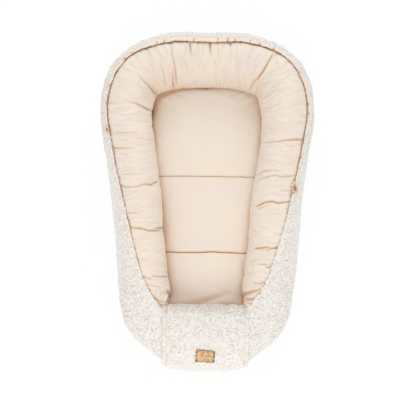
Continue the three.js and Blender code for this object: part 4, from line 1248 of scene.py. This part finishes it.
edge_ring = Ring(np.linspace(0, head_place, 900))
pad_edge = pad_line(pad_tuck + pad_head_tuck * rising(edge_ring.where, 8.3, 1.2))
seen_edge = pad_line(0)


def pad_half_width(along):
    """Half the pad's width at a place along it. Its foot corners are rounded."""
    left = rising(along, pad_low.y, pad_foot_round)
    corner = pad_foot_round * (1 - np.sqrt(1 - (1 - left) ** 2))
    return np.interp(along, *pad_edge) - corner


def channel_line(across, which):
    """Where a sewn line runs: nearly straight, with a little wander in the lower one."""
    wander = channel_wander[which] * (np.sin(across * 52 + 0.6) + 0.5 * np.sin(across * 131))
    return channel_places[which] + wander


def pad_profile(along, across):
    """The share of the crown's height over the pad's length, 0 at its ends, low at the sewn lines."""
    ends = np.minimum((along - pad_low.y) / foot_rise, (pad_high.y - along) / head_rise)
    share = np.clip(ends, 0, 1) ** 0.28
    low = pad_channel / pad_crown
    for which in (0, 1):
        away = np.abs(along - channel_line(across, which))
        share = share * (low + (1 - low) * rising(away, 0, line_rise) ** 0.40)
    return share


pad_along = np.linspace(pad_low.y, pad_high.y, int((pad_high.y - pad_low.y) / pad_row_spacing))[:, None]
round_about = np.linspace(0, 2 * math.pi, 2 * pad_columns + 1)[None, :]
side = np.cos(round_about)
pad_wide = pad_half_width(pad_along)
pad_across = pad_wide * np.sign(side) * np.abs(side) ** 0.72
over = np.clip(np.sin(round_about), 0, 1) ** 0.62
under = np.clip(-np.sin(round_about), 0, 1) ** 0.42
ends = np.minimum(pad_along - pad_low.y, pad_high.y - pad_along)
depth = (pad_equator - pad_low.z) * np.sqrt(np.clip(1 - (1 - rising(ends, 0, end_round)) ** 2, 0, 1))
rise = pad_crown * start_share * pad_profile(pad_along, pad_across) * over
pad_height = pad_equator + rise - depth * np.minimum(1, 1.15 * under)
pad_points = np.stack([pad_across, np.broadcast_to(pad_along, pad_across.shape), pad_height], axis=2)
pad_cover = sewn_grid("pad_cover", pad_points)
voxel = 0.005
swell_frames = 20
swell_pressure = 4
swell_cap = 0.0075


def swollen(piece, held_back):
    """Blows a cushion up from within. Points where held_back is 1 stay put, and none moves past the cap."""
    select_only(piece)
    piece.data.remesh_voxel_size = voxel
    bpy.ops.object.voxel_remesh()
    rest = np.zeros(len(piece.data.vertices) * 3)
    piece.data.vertices.foreach_get("co", rest)
    rest = rest.reshape(-1, 3)
    pins = piece.vertex_groups.new(name="sewn")
    weight = held_back(rest)
    for index in np.nonzero(weight > 0.05)[0]:
        pins.add([int(index)], float(weight[index]), "REPLACE")
    cloth = piece.modifiers.new("swell", "CLOTH")
    cloth.settings.use_pressure = True
    cloth.settings.uniform_pressure_force = swell_pressure
    cloth.settings.effector_weights.gravity = 0
    cloth.settings.vertex_group_mass = "sewn"
    cloth.settings.quality = 5
    cloth.settings.tension_stiffness = 20
    cloth.settings.compression_stiffness = 20
    cloth.settings.bending_stiffness = 0.25
    cloth.point_cache.frame_start = 1
    cloth.point_cache.frame_end = swell_frames
    for frame_number in range(1, swell_frames + 1):
        bpy.context.scene.frame_set(frame_number)
    solved = piece.evaluated_get(bpy.context.evaluated_depsgraph_get()).data
    swelled = np.zeros(len(rest) * 3)
    solved.vertices.foreach_get("co", swelled)
    piece.modifiers.remove(cloth)
    piece.vertex_groups.remove(pins)
    bpy.context.scene.frame_set(1)
    move = swelled.reshape(-1, 3) - rest
    far = np.maximum(np.linalg.norm(move, axis=1, keepdims=True), 1e-9)
    return rest + move * np.minimum(1, swell_cap / far)


def sewn_through(points):
    """1 on the two sewn lines, on the side seam and on the pad's flat underside."""
    lines = np.zeros(len(points))
    for which in (0, 1):
        lines = np.maximum(lines, mound(points[:, 1], channel_line(points[:, 0], which), line_held))
    return np.where(points[:, 2] < pad_equator, 1, lines)


settled = swollen(pad_cover, sewn_through)
settled[:, 2] = np.maximum(settled[:, 2], pad_low.z)
pad_cover.data.vertices.foreach_set("co", settled.astype(np.float32).ravel())
finer = pad_cover.modifiers.new("finer", "SUBSURF")
finer.levels = finer.render_levels = 1
select_only(pad_cover)
bpy.ops.object.modifier_apply(modifier=finer.name)
# Along the sewn lines the cloth goes down in a narrow valley, with small puckers beside it, and painted
# shade down the valley.
top_fade = 0.006
channel_drop = (0.0042, 0.0030)
channel_valley = 0.0024
channel_shade = (0.95, 0.6)
channel_shade_width = 0.0017
channel_pucker = 0.0009
pucker_reach = 0.012
pucker_pitch = 0.014
along_line = np.array([1, 0.15, 0.15])
pad_swellings = ((0.0005, 0.09, 61), (0.00022, 0.03, 62))
points = np.zeros(len(pad_cover.data.vertices) * 3)
pad_cover.data.vertices.foreach_get("co", points)
points = points.reshape(-1, 3)
top = rising(points[:, 2], pad_equator, top_fade)
painted_shade_mark = np.zeros(len(points))
relief = np.zeros(len(points))
for which in (0, 1):
    away = points[:, 1] - channel_line(points[:, 0], which)
    relief -= channel_drop[which] * np.exp(-np.abs(away / channel_valley) ** 1.5)
    pucker = 0.5 + 0.5 * ripple(points * along_line, pucker_pitch, 50 + which)
    relief -= channel_pucker * pucker * np.exp(-np.abs(away) / pucker_reach)
    # Painted shade down each sewn line's valley.
    hollow_shade = channel_shade[which] * np.exp(-np.abs(away / channel_shade_width) ** 1.6)
    painted_shade_mark = np.maximum(painted_shade_mark, hollow_shade)
# The soft folds: start and end point, depth, width, and how much painted shade each takes.
pad_folds = [
    ((-0.052, -0.296), (0.052, -0.258), 0.0050, 0.0070, 0.42),
    ((-0.010, -0.300), (0.076, -0.284), 0.0024, 0.0050, 0.25),
    ((-0.094, -0.225), (-0.088, -0.272), 0.0016, 0.0060, 0.10),
    ((-0.100, -0.010), (-0.092, 0.052), 0.0010, 0.0070, 0.0),
    ((-0.104, -0.120), (-0.096, -0.060), 0.0012, 0.0070, 0.0),
    ((-0.118, 0.075), (-0.110, 0.140), 0.0012, 0.0080, 0.0),
    ((0.094, -0.215), (0.088, -0.160), 0.0012, 0.0060, 0.05),
    ((0.100, 0.010), (0.106, 0.055), 0.0010, 0.0060, 0.0),
    ((-0.070, -0.262), (-0.010, -0.255), 0.0008, 0.0080, 0.0),
    ((0.010, -0.238), (0.066, -0.262), 0.0008, 0.0090, 0.0),
]
for start, end, deep_by, width, hollow_shade in pad_folds:
    start, end = np.array(start), np.array(end)
    way = end - start
    share = np.clip(((points[:, :2] - start) @ way) / (way @ way), 0, 1)
    away = np.linalg.norm(points[:, :2] - start - share[:, None] * way, axis=1)
    fade = np.sin(math.pi * np.clip(share, 0.04, 0.96)) ** 0.6
    relief -= deep_by * fade * mound(away, 0, width)
    # Painted shade down the fold's middle.
    painted_shade_mark = np.maximum(painted_shade_mark, hollow_shade * fade * mound(away, 0, width * 0.35))
relief += sum(high * ripple(points, apart, seed) for high, apart, seed in pad_swellings)
points[:, 2] += relief * top
pad_cover.data.vertices.foreach_set("co", points.astype(np.float32).ravel())
# Painted shadow of the roll on the pad's edges: most on the left, where its foot half lies deepest, and at
# the foot.
edge_shade = 0.0055
head_hidden = 0.0235
foot_seen = -0.290
foot_fade = 0.020
deep_left_end = (0.10, 0.08)
side_middle = 0.02
side_fade = 0.15
left_shade, right_shade, head_shade, foot_shade = 0.64, 0.26, 0.34, 0.50
on_left = points[:, 0] < 0
side_reach = edge_shade * (1.3 + 1.1 * on_left * falling(points[:, 1], *deep_left_end))
beside = np.interp(points[:, 1], *seen_edge) - np.abs(points[:, 0])
side_shadow = np.where(on_left, left_shade, right_shade) * shaded_near(beside, side_reach)
side_shadow = side_shadow * (0.8 + 0.2 * rising(np.abs(points[:, 1] - side_middle), 0, side_fade))
head_shadow = head_shade * shaded_near(pad_high.y - points[:, 1] - head_hidden, edge_shade * 1.5)
foot_shadow = foot_shade * shaded_near(points[:, 1] - foot_seen, foot_fade)
marked(pad_cover, "painted_shade", np.maximum.reduce([painted_shade_mark * top, side_shadow, head_shadow, foot_shadow]))
marked(pad_cover, "rim", np.zeros(len(points)))
bpy.ops.object.shade_smooth()
pad_cover.data.materials.append(cotton_satin)
pad_fillings = ["pad_filling_foot", "pad_filling_middle", "pad_filling_head"]
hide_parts("pad_cover_top", "pad_cover_bottom", *pad_fillings)
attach(pad_cover, "nest")

# The pad's two sewn lines: brown thread through the whole pad, drawn down between the sections. The
# lower one wanders a little where the cloth is gathered.
channel_reach = 0.9985
channel_names = ("channel_seam_foot", "channel_seam_head")
channel_thread = (0.00085, 0.00062)
channel_pitch = 0.0034
channel_points = 420
channel_lift = 0.0001
along_nest = np.array([0, 1.0, 0])
upward = np.array([0, 0, 1.0])


def height_of(piece, across, along):
    """How high a piece's upper side is at each of these places."""
    above = [piece.ray_cast((x, y, 1), (0, 0, -1)) for x, y in zip(across, along)]
    return np.array([place.z if found else np.nan for found, place, _, _ in above])


bpy.context.view_layer.update()
for which, name in enumerate(channel_names):
    half = float(pad_half_width(channel_places[which])) * channel_reach
    across = np.linspace(-half, half, channel_points)
    line_along = channel_line(across, which)
    heights = height_of(pad_cover, across, line_along)
    found = ~np.isnan(heights)
    heights = np.interp(across, across[found], heights[found]) + channel_lift
    spine = np.stack([across, line_along, heights], axis=1)
    stitch = np.abs(np.sin(math.pi * across / channel_pitch + which))
    thick = channel_thread[which] * (0.70 + 0.5 * stitch)
    tube = thread_tube(spine, along_nest, upward, thick, 6, 0.8)
    channel_seam = sewn_grid(name, tube, {"stitch": stitch[:, None] * 0.8})
    channel_seam.data.materials.append(brown_thread)
    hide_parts(channel_nodes[which])
    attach(channel_seam, "nest")

# The hem seams of the sleeve: off-white thread, sewn through the pile and its lining a finger's breadth
# from each edge. The curls close over it, so that it shows as a soft groove with a stitch here and there.
hem_angles = np.linspace(-40, 195, 520)
hem_thread_radius = 0.0007
hem_sunk = 0.0046
hem_pitch = 0.005
across_nest = np.array([1.0, 0, 0])


def out_of_line(spine):
    """The outward direction along a line that runs round the sleeve."""
    way = np.gradient(spine, axis=0)
    return np.cross(across_nest, way / np.linalg.norm(way, axis=1, keepdims=True))


hem_thread = sewing_thread("hem_thread", shade(236, 228, 216), shade(206, 190, 170))
for side, name in ((1, "right"), (-1, "left")):
    ring = Ring([side * place_across(hem_place)])
    spine = band(ring, hem_angles[None, :], sleeve_cloth - hem_sunk, 0.0)[0]
    spine[:, 0] = side * hem_place
    stitch = np.abs(np.sin(math.pi * np.radians(hem_angles) * ring.radius[0] / hem_pitch))
    tube = thread_tube(spine, across_nest, out_of_line(spine), hem_thread_radius * (0.6 + 0.6 * stitch), 6)
    hem_seam = sewn_grid("hem_seam_" + name, tube, {"stitch": stitch[:, None]})
    hem_seam.data.materials.append(hem_thread)
    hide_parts("hem_stitching_" + name)
    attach(hem_seam, "nest")

# The label: a bare patch of tan leather-like paper, washed until it crinkles, darker along its cut edges.
# It is held on the front of the sleeve by three stitches at either side.
label_width = 0.043
label_height = 0.033
label_thickness = 0.0012
label_middle = 38.8
label_tilt = math.radians(3.2)
label_stand = 0.0142
label_columns = 64
label_rows = 50
label_fray = 0.0005
# It is dented all over, its edges turn in, and every stitch pulls it down.
dent_depth = 0.0010
dent_pitch = 0.012
crease_height = 0.0011
crease_pitch = 0.013
fray_pitch = 0.007
edge_turned_in = 0.0016
edge_turn = 0.0022
stitch_pull = 0.0009
pulled_across = 0.003
pulled_along = 0.0045
stitch_side = 0.43
stitch_levels = {"top": 0.33, "middle": 0, "bottom": -0.33}
# Darker bands along the cut edges and on its upper right, and a band of painted shade where it folds low
# across the patch.
dark_edge = 0.0016
low_fold_shade = -0.0132
low_fold_shade_width = 0.0026
dark_right = 0.0203
dark_right_width = 0.0014
dark_right_start = (-0.003, 0.006)
label_ring = Ring([0])
label_reach = label_ring.radius[0] + label_stand
label_cos = math.cos(label_tilt)
label_sin = math.sin(label_tilt)


def on_label(across, up, out):
    """A point on the label, from its middle across and up along the sleeve, and out from its back."""
    across, up, out = np.broadcast_arrays(across, up, out)
    angle = label_middle + np.degrees((up * label_cos - across * label_sin) / label_reach)
    points = label_ring.skin(angle.reshape(1, -1), label_stand + out.reshape(1, -1))[0]
    points = points.reshape(*across.shape, 3)
    points[..., 0] = across * label_cos + up * label_sin
    return points


def label_crinkle(across, up):
    """Creases and dents of the washed patch. Its edges turn in."""
    flat = np.stack(np.broadcast_arrays(across, up, 0 * across), axis=-1)
    sharp = 1 - np.abs(ripple(flat, crease_pitch, 91))
    dents = dent_depth * ripple(flat, dent_pitch, 92) + crease_height * np.clip(sharp, 0, 1) ** 4
    edge = np.minimum(label_width / 2 - np.abs(across), label_height / 2 - np.abs(up))
    pulled = np.zeros(flat.shape[:2])
    for side, level in itertools.product((-1, 1), stitch_levels.values()):
        beside = mound(across, side * label_width * stitch_side, pulled_across)
        pulled += beside * mound(up, level * label_height, pulled_along)
    return dents - edge_turned_in * shaded_near(edge, edge_turn) - stitch_pull * pulled, edge


def round_sheet(front, behind):
    """A loop of columns round a sheet: over its front and back along its other side."""
    return np.concatenate([front, behind[:, ::-1], front[:, :1]], axis=1)


label_across = np.linspace(-0.5, 0.5, label_columns)[None, :] * label_width
label_up = np.linspace(-0.5, 0.5, label_rows)[:, None] * label_height
patch_plane = np.stack(np.broadcast_arrays(label_across, label_up, 0 * label_across), axis=-1)
fray = label_fray * ripple(patch_plane, fray_pitch, 93)
frayed_across = label_across + fray * np.abs(label_across / (label_width / 2)) ** 6
frayed_up = label_up + fray * np.abs(label_up / (label_height / 2)) ** 6
crinkle, label_edge = label_crinkle(label_across, label_up)
front = on_label(frayed_across, frayed_up, label_thickness + crinkle)
behind = on_label(frayed_across, frayed_up, crinkle)
halfway = (front + behind) / 2
closed = round_sheet(halfway, halfway)
patch_points = np.concatenate([closed[:1], round_sheet(front, behind), closed[-1:]])
# Darker along the cut edges and upper right, and painted shade in the fold low across the patch.
dark_and_fold_shade = shaded_near(label_edge, dark_edge) + 0.75 * mound(label_up, low_fold_shade, low_fold_shade_width)
on_right = mound(label_across, dark_right, dark_right_width) * rising(label_up, *dark_right_start)
dark_and_fold_shade = dark_and_fold_shade + 0.8 * on_right
dark_and_fold_shade = np.clip(dark_and_fold_shade, 0, 1)
dark_and_fold_shade = np.pad(round_sheet(dark_and_fold_shade, dark_and_fold_shade), ((1, 1), (0, 0)), mode="edge")
label_patch = sewn_grid("label_patch", patch_points, {"dark_and_fold_shade": dark_and_fold_shade})


def washed_paper(name):
    """Tan washable paper: light where it is rubbed, darker in its creases and along its edges, with painted
    shade where it folds low across it.
    """
    finish = Finish(name, roughness=0.72)
    finish.set("Specular IOR Level", 0.3)
    place = finish.place()
    dark_and_fold_shade = finish.mark("dark_and_fold_shade")
    cloud = finish.noise(place, scale=130, detail=5, roughness=0.65)
    rubbed = finish.spread_over(cloud, 0.38, 0.62)
    base = finish.blend(rubbed, shade(182, 140, 92), shade(226, 196, 154))
    finish.set("Base Color", finish.blend(dark_and_fold_shade * 0.85, base, shade(158, 106, 58)))
    grain = finish.noise(place, scale=900, detail=4)
    cracks = finish.node("TexVoronoi", {"feature": "DISTANCE_TO_EDGE"}, {"Vector": place, "Scale": 210})
    finish.bump(grain * 0.5 + cracks, strength=0.35, distance=0.0005)
    return finish.material


label_patch.data.materials.append(washed_paper("washed_paper"))
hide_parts("label")
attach(label_patch, "nest")

# The label's stitches: short bars of dark thread, pulled down into the patch.
stitch_length = 0.0062
stitch_width = 0.0019
stitch_from_edge = 0.0024
stitch_sunk = 0.0010
stitch_arch = 0.0010
dark_thread = sewing_thread("dark_thread", shade(112, 82, 46), shade(58, 42, 26))
part = np.linspace(-0.5, 0.5, 13)
rounded_off = stitch_width / 2 * np.sqrt(1 - np.abs(part * 2) ** 3)
arch = label_thickness - stitch_sunk - stitch_arch * (part * 2) ** 4
for side, side_name in ((-1, "left"), (1, "right")):
    for level, share in stitch_levels.items():
        edge = side * (label_width / 2 - stitch_from_edge)
        spine = on_label(edge, share * label_height + part * stitch_length, arch)
        bar = thread_tube(spine, across_nest, out_of_line(spine), rounded_off, 10, 0.7)
        stitch_bar = sewn_grid(f"stitch_{side_name}_{level}", bar, {"stitch": 2 * part[:, None] ** 2})
        stitch_bar.data.materials.append(dark_thread)
        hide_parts(f"label_stitch_{side_name}_{level}")
        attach(stitch_bar, "nest")

# The nest's bottom: curly pile outside, a layer of wadding and a cotton lining inside, sewn to the wall all
# round. The pile has a slot for the zip. It is made from the frame's three layers, grown into one soft form.
bottom_voxel = 0.004
bottom_relief = 0.0022
bottom_warp = 0.0012
lining_depth = 0.002
slot_half_length = 0.0990
slot_half_width = 0.0110
slot_place = (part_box("zip_tape_foot")[0].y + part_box("zip_tape_head")[1].y) / 2
slot_top = 0.0061
slot_play = 0.004
bottom_pull = 0.0065
front_reach = 0.007
front_fade = 0.02
bottom_span_x, bottom_span_y = 0.2444, 0.4112
bottom_middle_y = 0.0105
layers = []
for node in ("base_panel", "base_wadding", "floor_lining"):
    layer = bpy.data.objects.new("layer_" + node, bpy.data.objects[node].data.copy())
    bpy.context.collection.objects.link(layer)
    layer.data.materials.clear()
    layers.append(layer)
select_only(layers[0])
for layer in layers:
    layer.select_set(True)
bpy.ops.object.join()
nest_bottom = bpy.context.object
nest_bottom.name = "nest_bottom"
nest_bottom.data.name = "nest_bottom"
nest_bottom.data.remesh_voxel_size = bottom_voxel
bpy.ops.object.voxel_remesh()
bpy.ops.mesh.primitive_cube_add(size=1, location=(0, slot_place, 0))
slot_cutter = bpy.context.object
slot_cutter.scale = (2 * slot_half_length, 2 * slot_half_width, 2 * slot_top)
select_only(nest_bottom)
cut = nest_bottom.modifiers.new("cut", "BOOLEAN")
cut.operation = "DIFFERENCE"
cut.solver = "EXACT"
cut.object = slot_cutter
bpy.ops.object.modifier_apply(modifier=cut.name)
bpy.data.objects.remove(slot_cutter)
count = len(nest_bottom.data.vertices)
points = np.zeros(count * 3)
facing = np.zeros(count * 3)
nest_bottom.data.vertices.foreach_get("co", points)
nest_bottom.data.vertices.foreach_get("normal", facing)
points = points.reshape(-1, 3)
facing = facing.reshape(-1, 3)
# Its edge is drawn in under the wall all round, and under the sleeve it reaches further to the front.
reach = np.hypot(points[:, 0] / bottom_span_x, (points[:, 1] - bottom_middle_y) / bottom_span_y)
from_middle = np.maximum(0.1, np.hypot(points[:, 0], points[:, 1]))
tucked = bottom_pull * rising(reach, 0.75, 0.2) / from_middle
tucked *= 0.5 + 0.5 * rising(points[:, 1], -0.25, 0.1)
points[:, :2] *= (1 - tucked)[:, None]
front = points[np.abs(points[:, 0]) < sleeve_half / 2, 1].min()
at_front = falling(points[:, 1], front + front_fade, front_fade) * (np.abs(points[:, 0]) < sleeve_half)
points[:, 1] -= front_reach * at_front
in_slot = np.abs(points[:, 0]) < slot_half_length + slot_play
in_slot &= np.abs(points[:, 1] - slot_place) < slot_half_width + slot_play
warp = bottom_warp * ripple(points, warp_pitch, 31)[:, None]
near, second, own = curl_centres(points + warp, curl_size, 33)
dome = np.sqrt(np.clip(1 - (near / 0.85) ** 2, 0, 1)) * (0.6 + 0.4 * own)
below = (facing[:, 2] < -0.5) & (points[:, 2] < 0.003) & ~in_slot
points[below, 2] = bottom_relief * (1 - dome[below])
lining_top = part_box("floor_lining")[1].z
points[:, 2] = np.clip(points[:, 2], 0, lining_top)
nest_bottom.data.vertices.foreach_set("co", points.astype(np.float32).ravel())
# Painted shade between the curls of the pile underneath.
deep = np.where(below, np.clip(1 - (second - near) / 0.25, 0, 1) * 0.7 + 0.3 * (1 - dome), 0.2)
for mark, values in (("deep", deep), ("tone", own), ("painted_shade", 0 * own), ("rim", 0 * own)):
    marked(nest_bottom, mark, values)
nest_bottom.data.materials.append(boucle)
nest_bottom.data.materials.append(cotton_satin)
for face in nest_bottom.data.polygons:
    face.material_index = int(face.normal.z > 0.5 and face.center.z > lining_top - lining_depth)
bpy.ops.object.shade_smooth()
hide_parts("base_panel", "base_wadding", "floor_lining")
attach(nest_bottom, "nest")


# The elastic inside the casing, and the zip in the underside, keep the frame's own shapes. They get a
# ribbed rubber, a herringbone tape, moulded teeth and a die-cast metal that is worn at its edges.
def give_finish(material, *nodes):
    """Lays a material on nodes of the frame that are kept as they are."""
    for node in nodes:
        for holder in bpy.data.objects[node].material_slots:
            holder.link = "OBJECT"
            holder.material = material


ribbed = Finish("ribbed_elastic", roughness=0.8)
place = ribbed.place()
ribs = ribbed.node("TexWave", {"bands_direction": "Z"}, {"Vector": place, "Scale": 320})
cloudy = ribbed.noise(place, scale=90)
ribbed.set("Base Color", ribbed.blend(cloudy, shade(236, 232, 222), shade(222, 214, 200)))
ribbed.bump(ribs, strength=0.4, distance=0.0003)
give_finish(ribbed.material, "rim_elastic")

tape = Finish("woven_tape", roughness=0.75)
tape.set("Sheen Weight", 0.2)
place = tape.place()
twill_weave = {"Vector": place, "Scale": 420, "Distortion": 1}
twill = tape.node("TexWave", {"bands_direction": "DIAGONAL"}, twill_weave)
cloudy = tape.noise(place, scale=60)
uneven = twill * 0.5 + cloudy * 0.5
tape.set("Base Color", tape.blend(uneven, shade(238, 228, 214), shade(216, 202, 184)))
tape.bump(twill, strength=0.4, distance=0.0003)
give_finish(tape.material, "zip_tape_head", "zip_tape_foot")

teeth = Finish("moulded_teeth", roughness=0.35)
place = teeth.place()
cloudy = teeth.noise(place, scale=200, detail=3)
teeth.set("Base Color", teeth.blend(cloudy, shade(240, 230, 216), shade(224, 210, 192)))
teeth.set("Roughness", teeth.node("MapRange", None, {"Value": cloudy, "To Min": 0.28, "To Max": 0.45}))
give_finish(teeth.material, "zip_teeth_head", "zip_teeth_foot")

cast = Finish("cast_metal", metallic=1.0)
place = cast.place()
worn = cast.noise(place, scale=350, detail=4)
edges = cast.node("NewGeometry", output=7)
edges = cast.spread_over(edges, 0.49, 0.56)
cast.set("Base Color", cast.blend(edges, shade(196, 186, 170), shade(226, 220, 208)))
cast.set("Roughness", cast.node("MapRange", None, {"Value": worn, "To Min": 0.24, "To Max": 0.42}))
cast.bump(worn, strength=0.15, distance=0.0002)
give_finish(cast.material, "zip_slider", "zip_pull", "zip_stop_closed", "zip_stop_open")
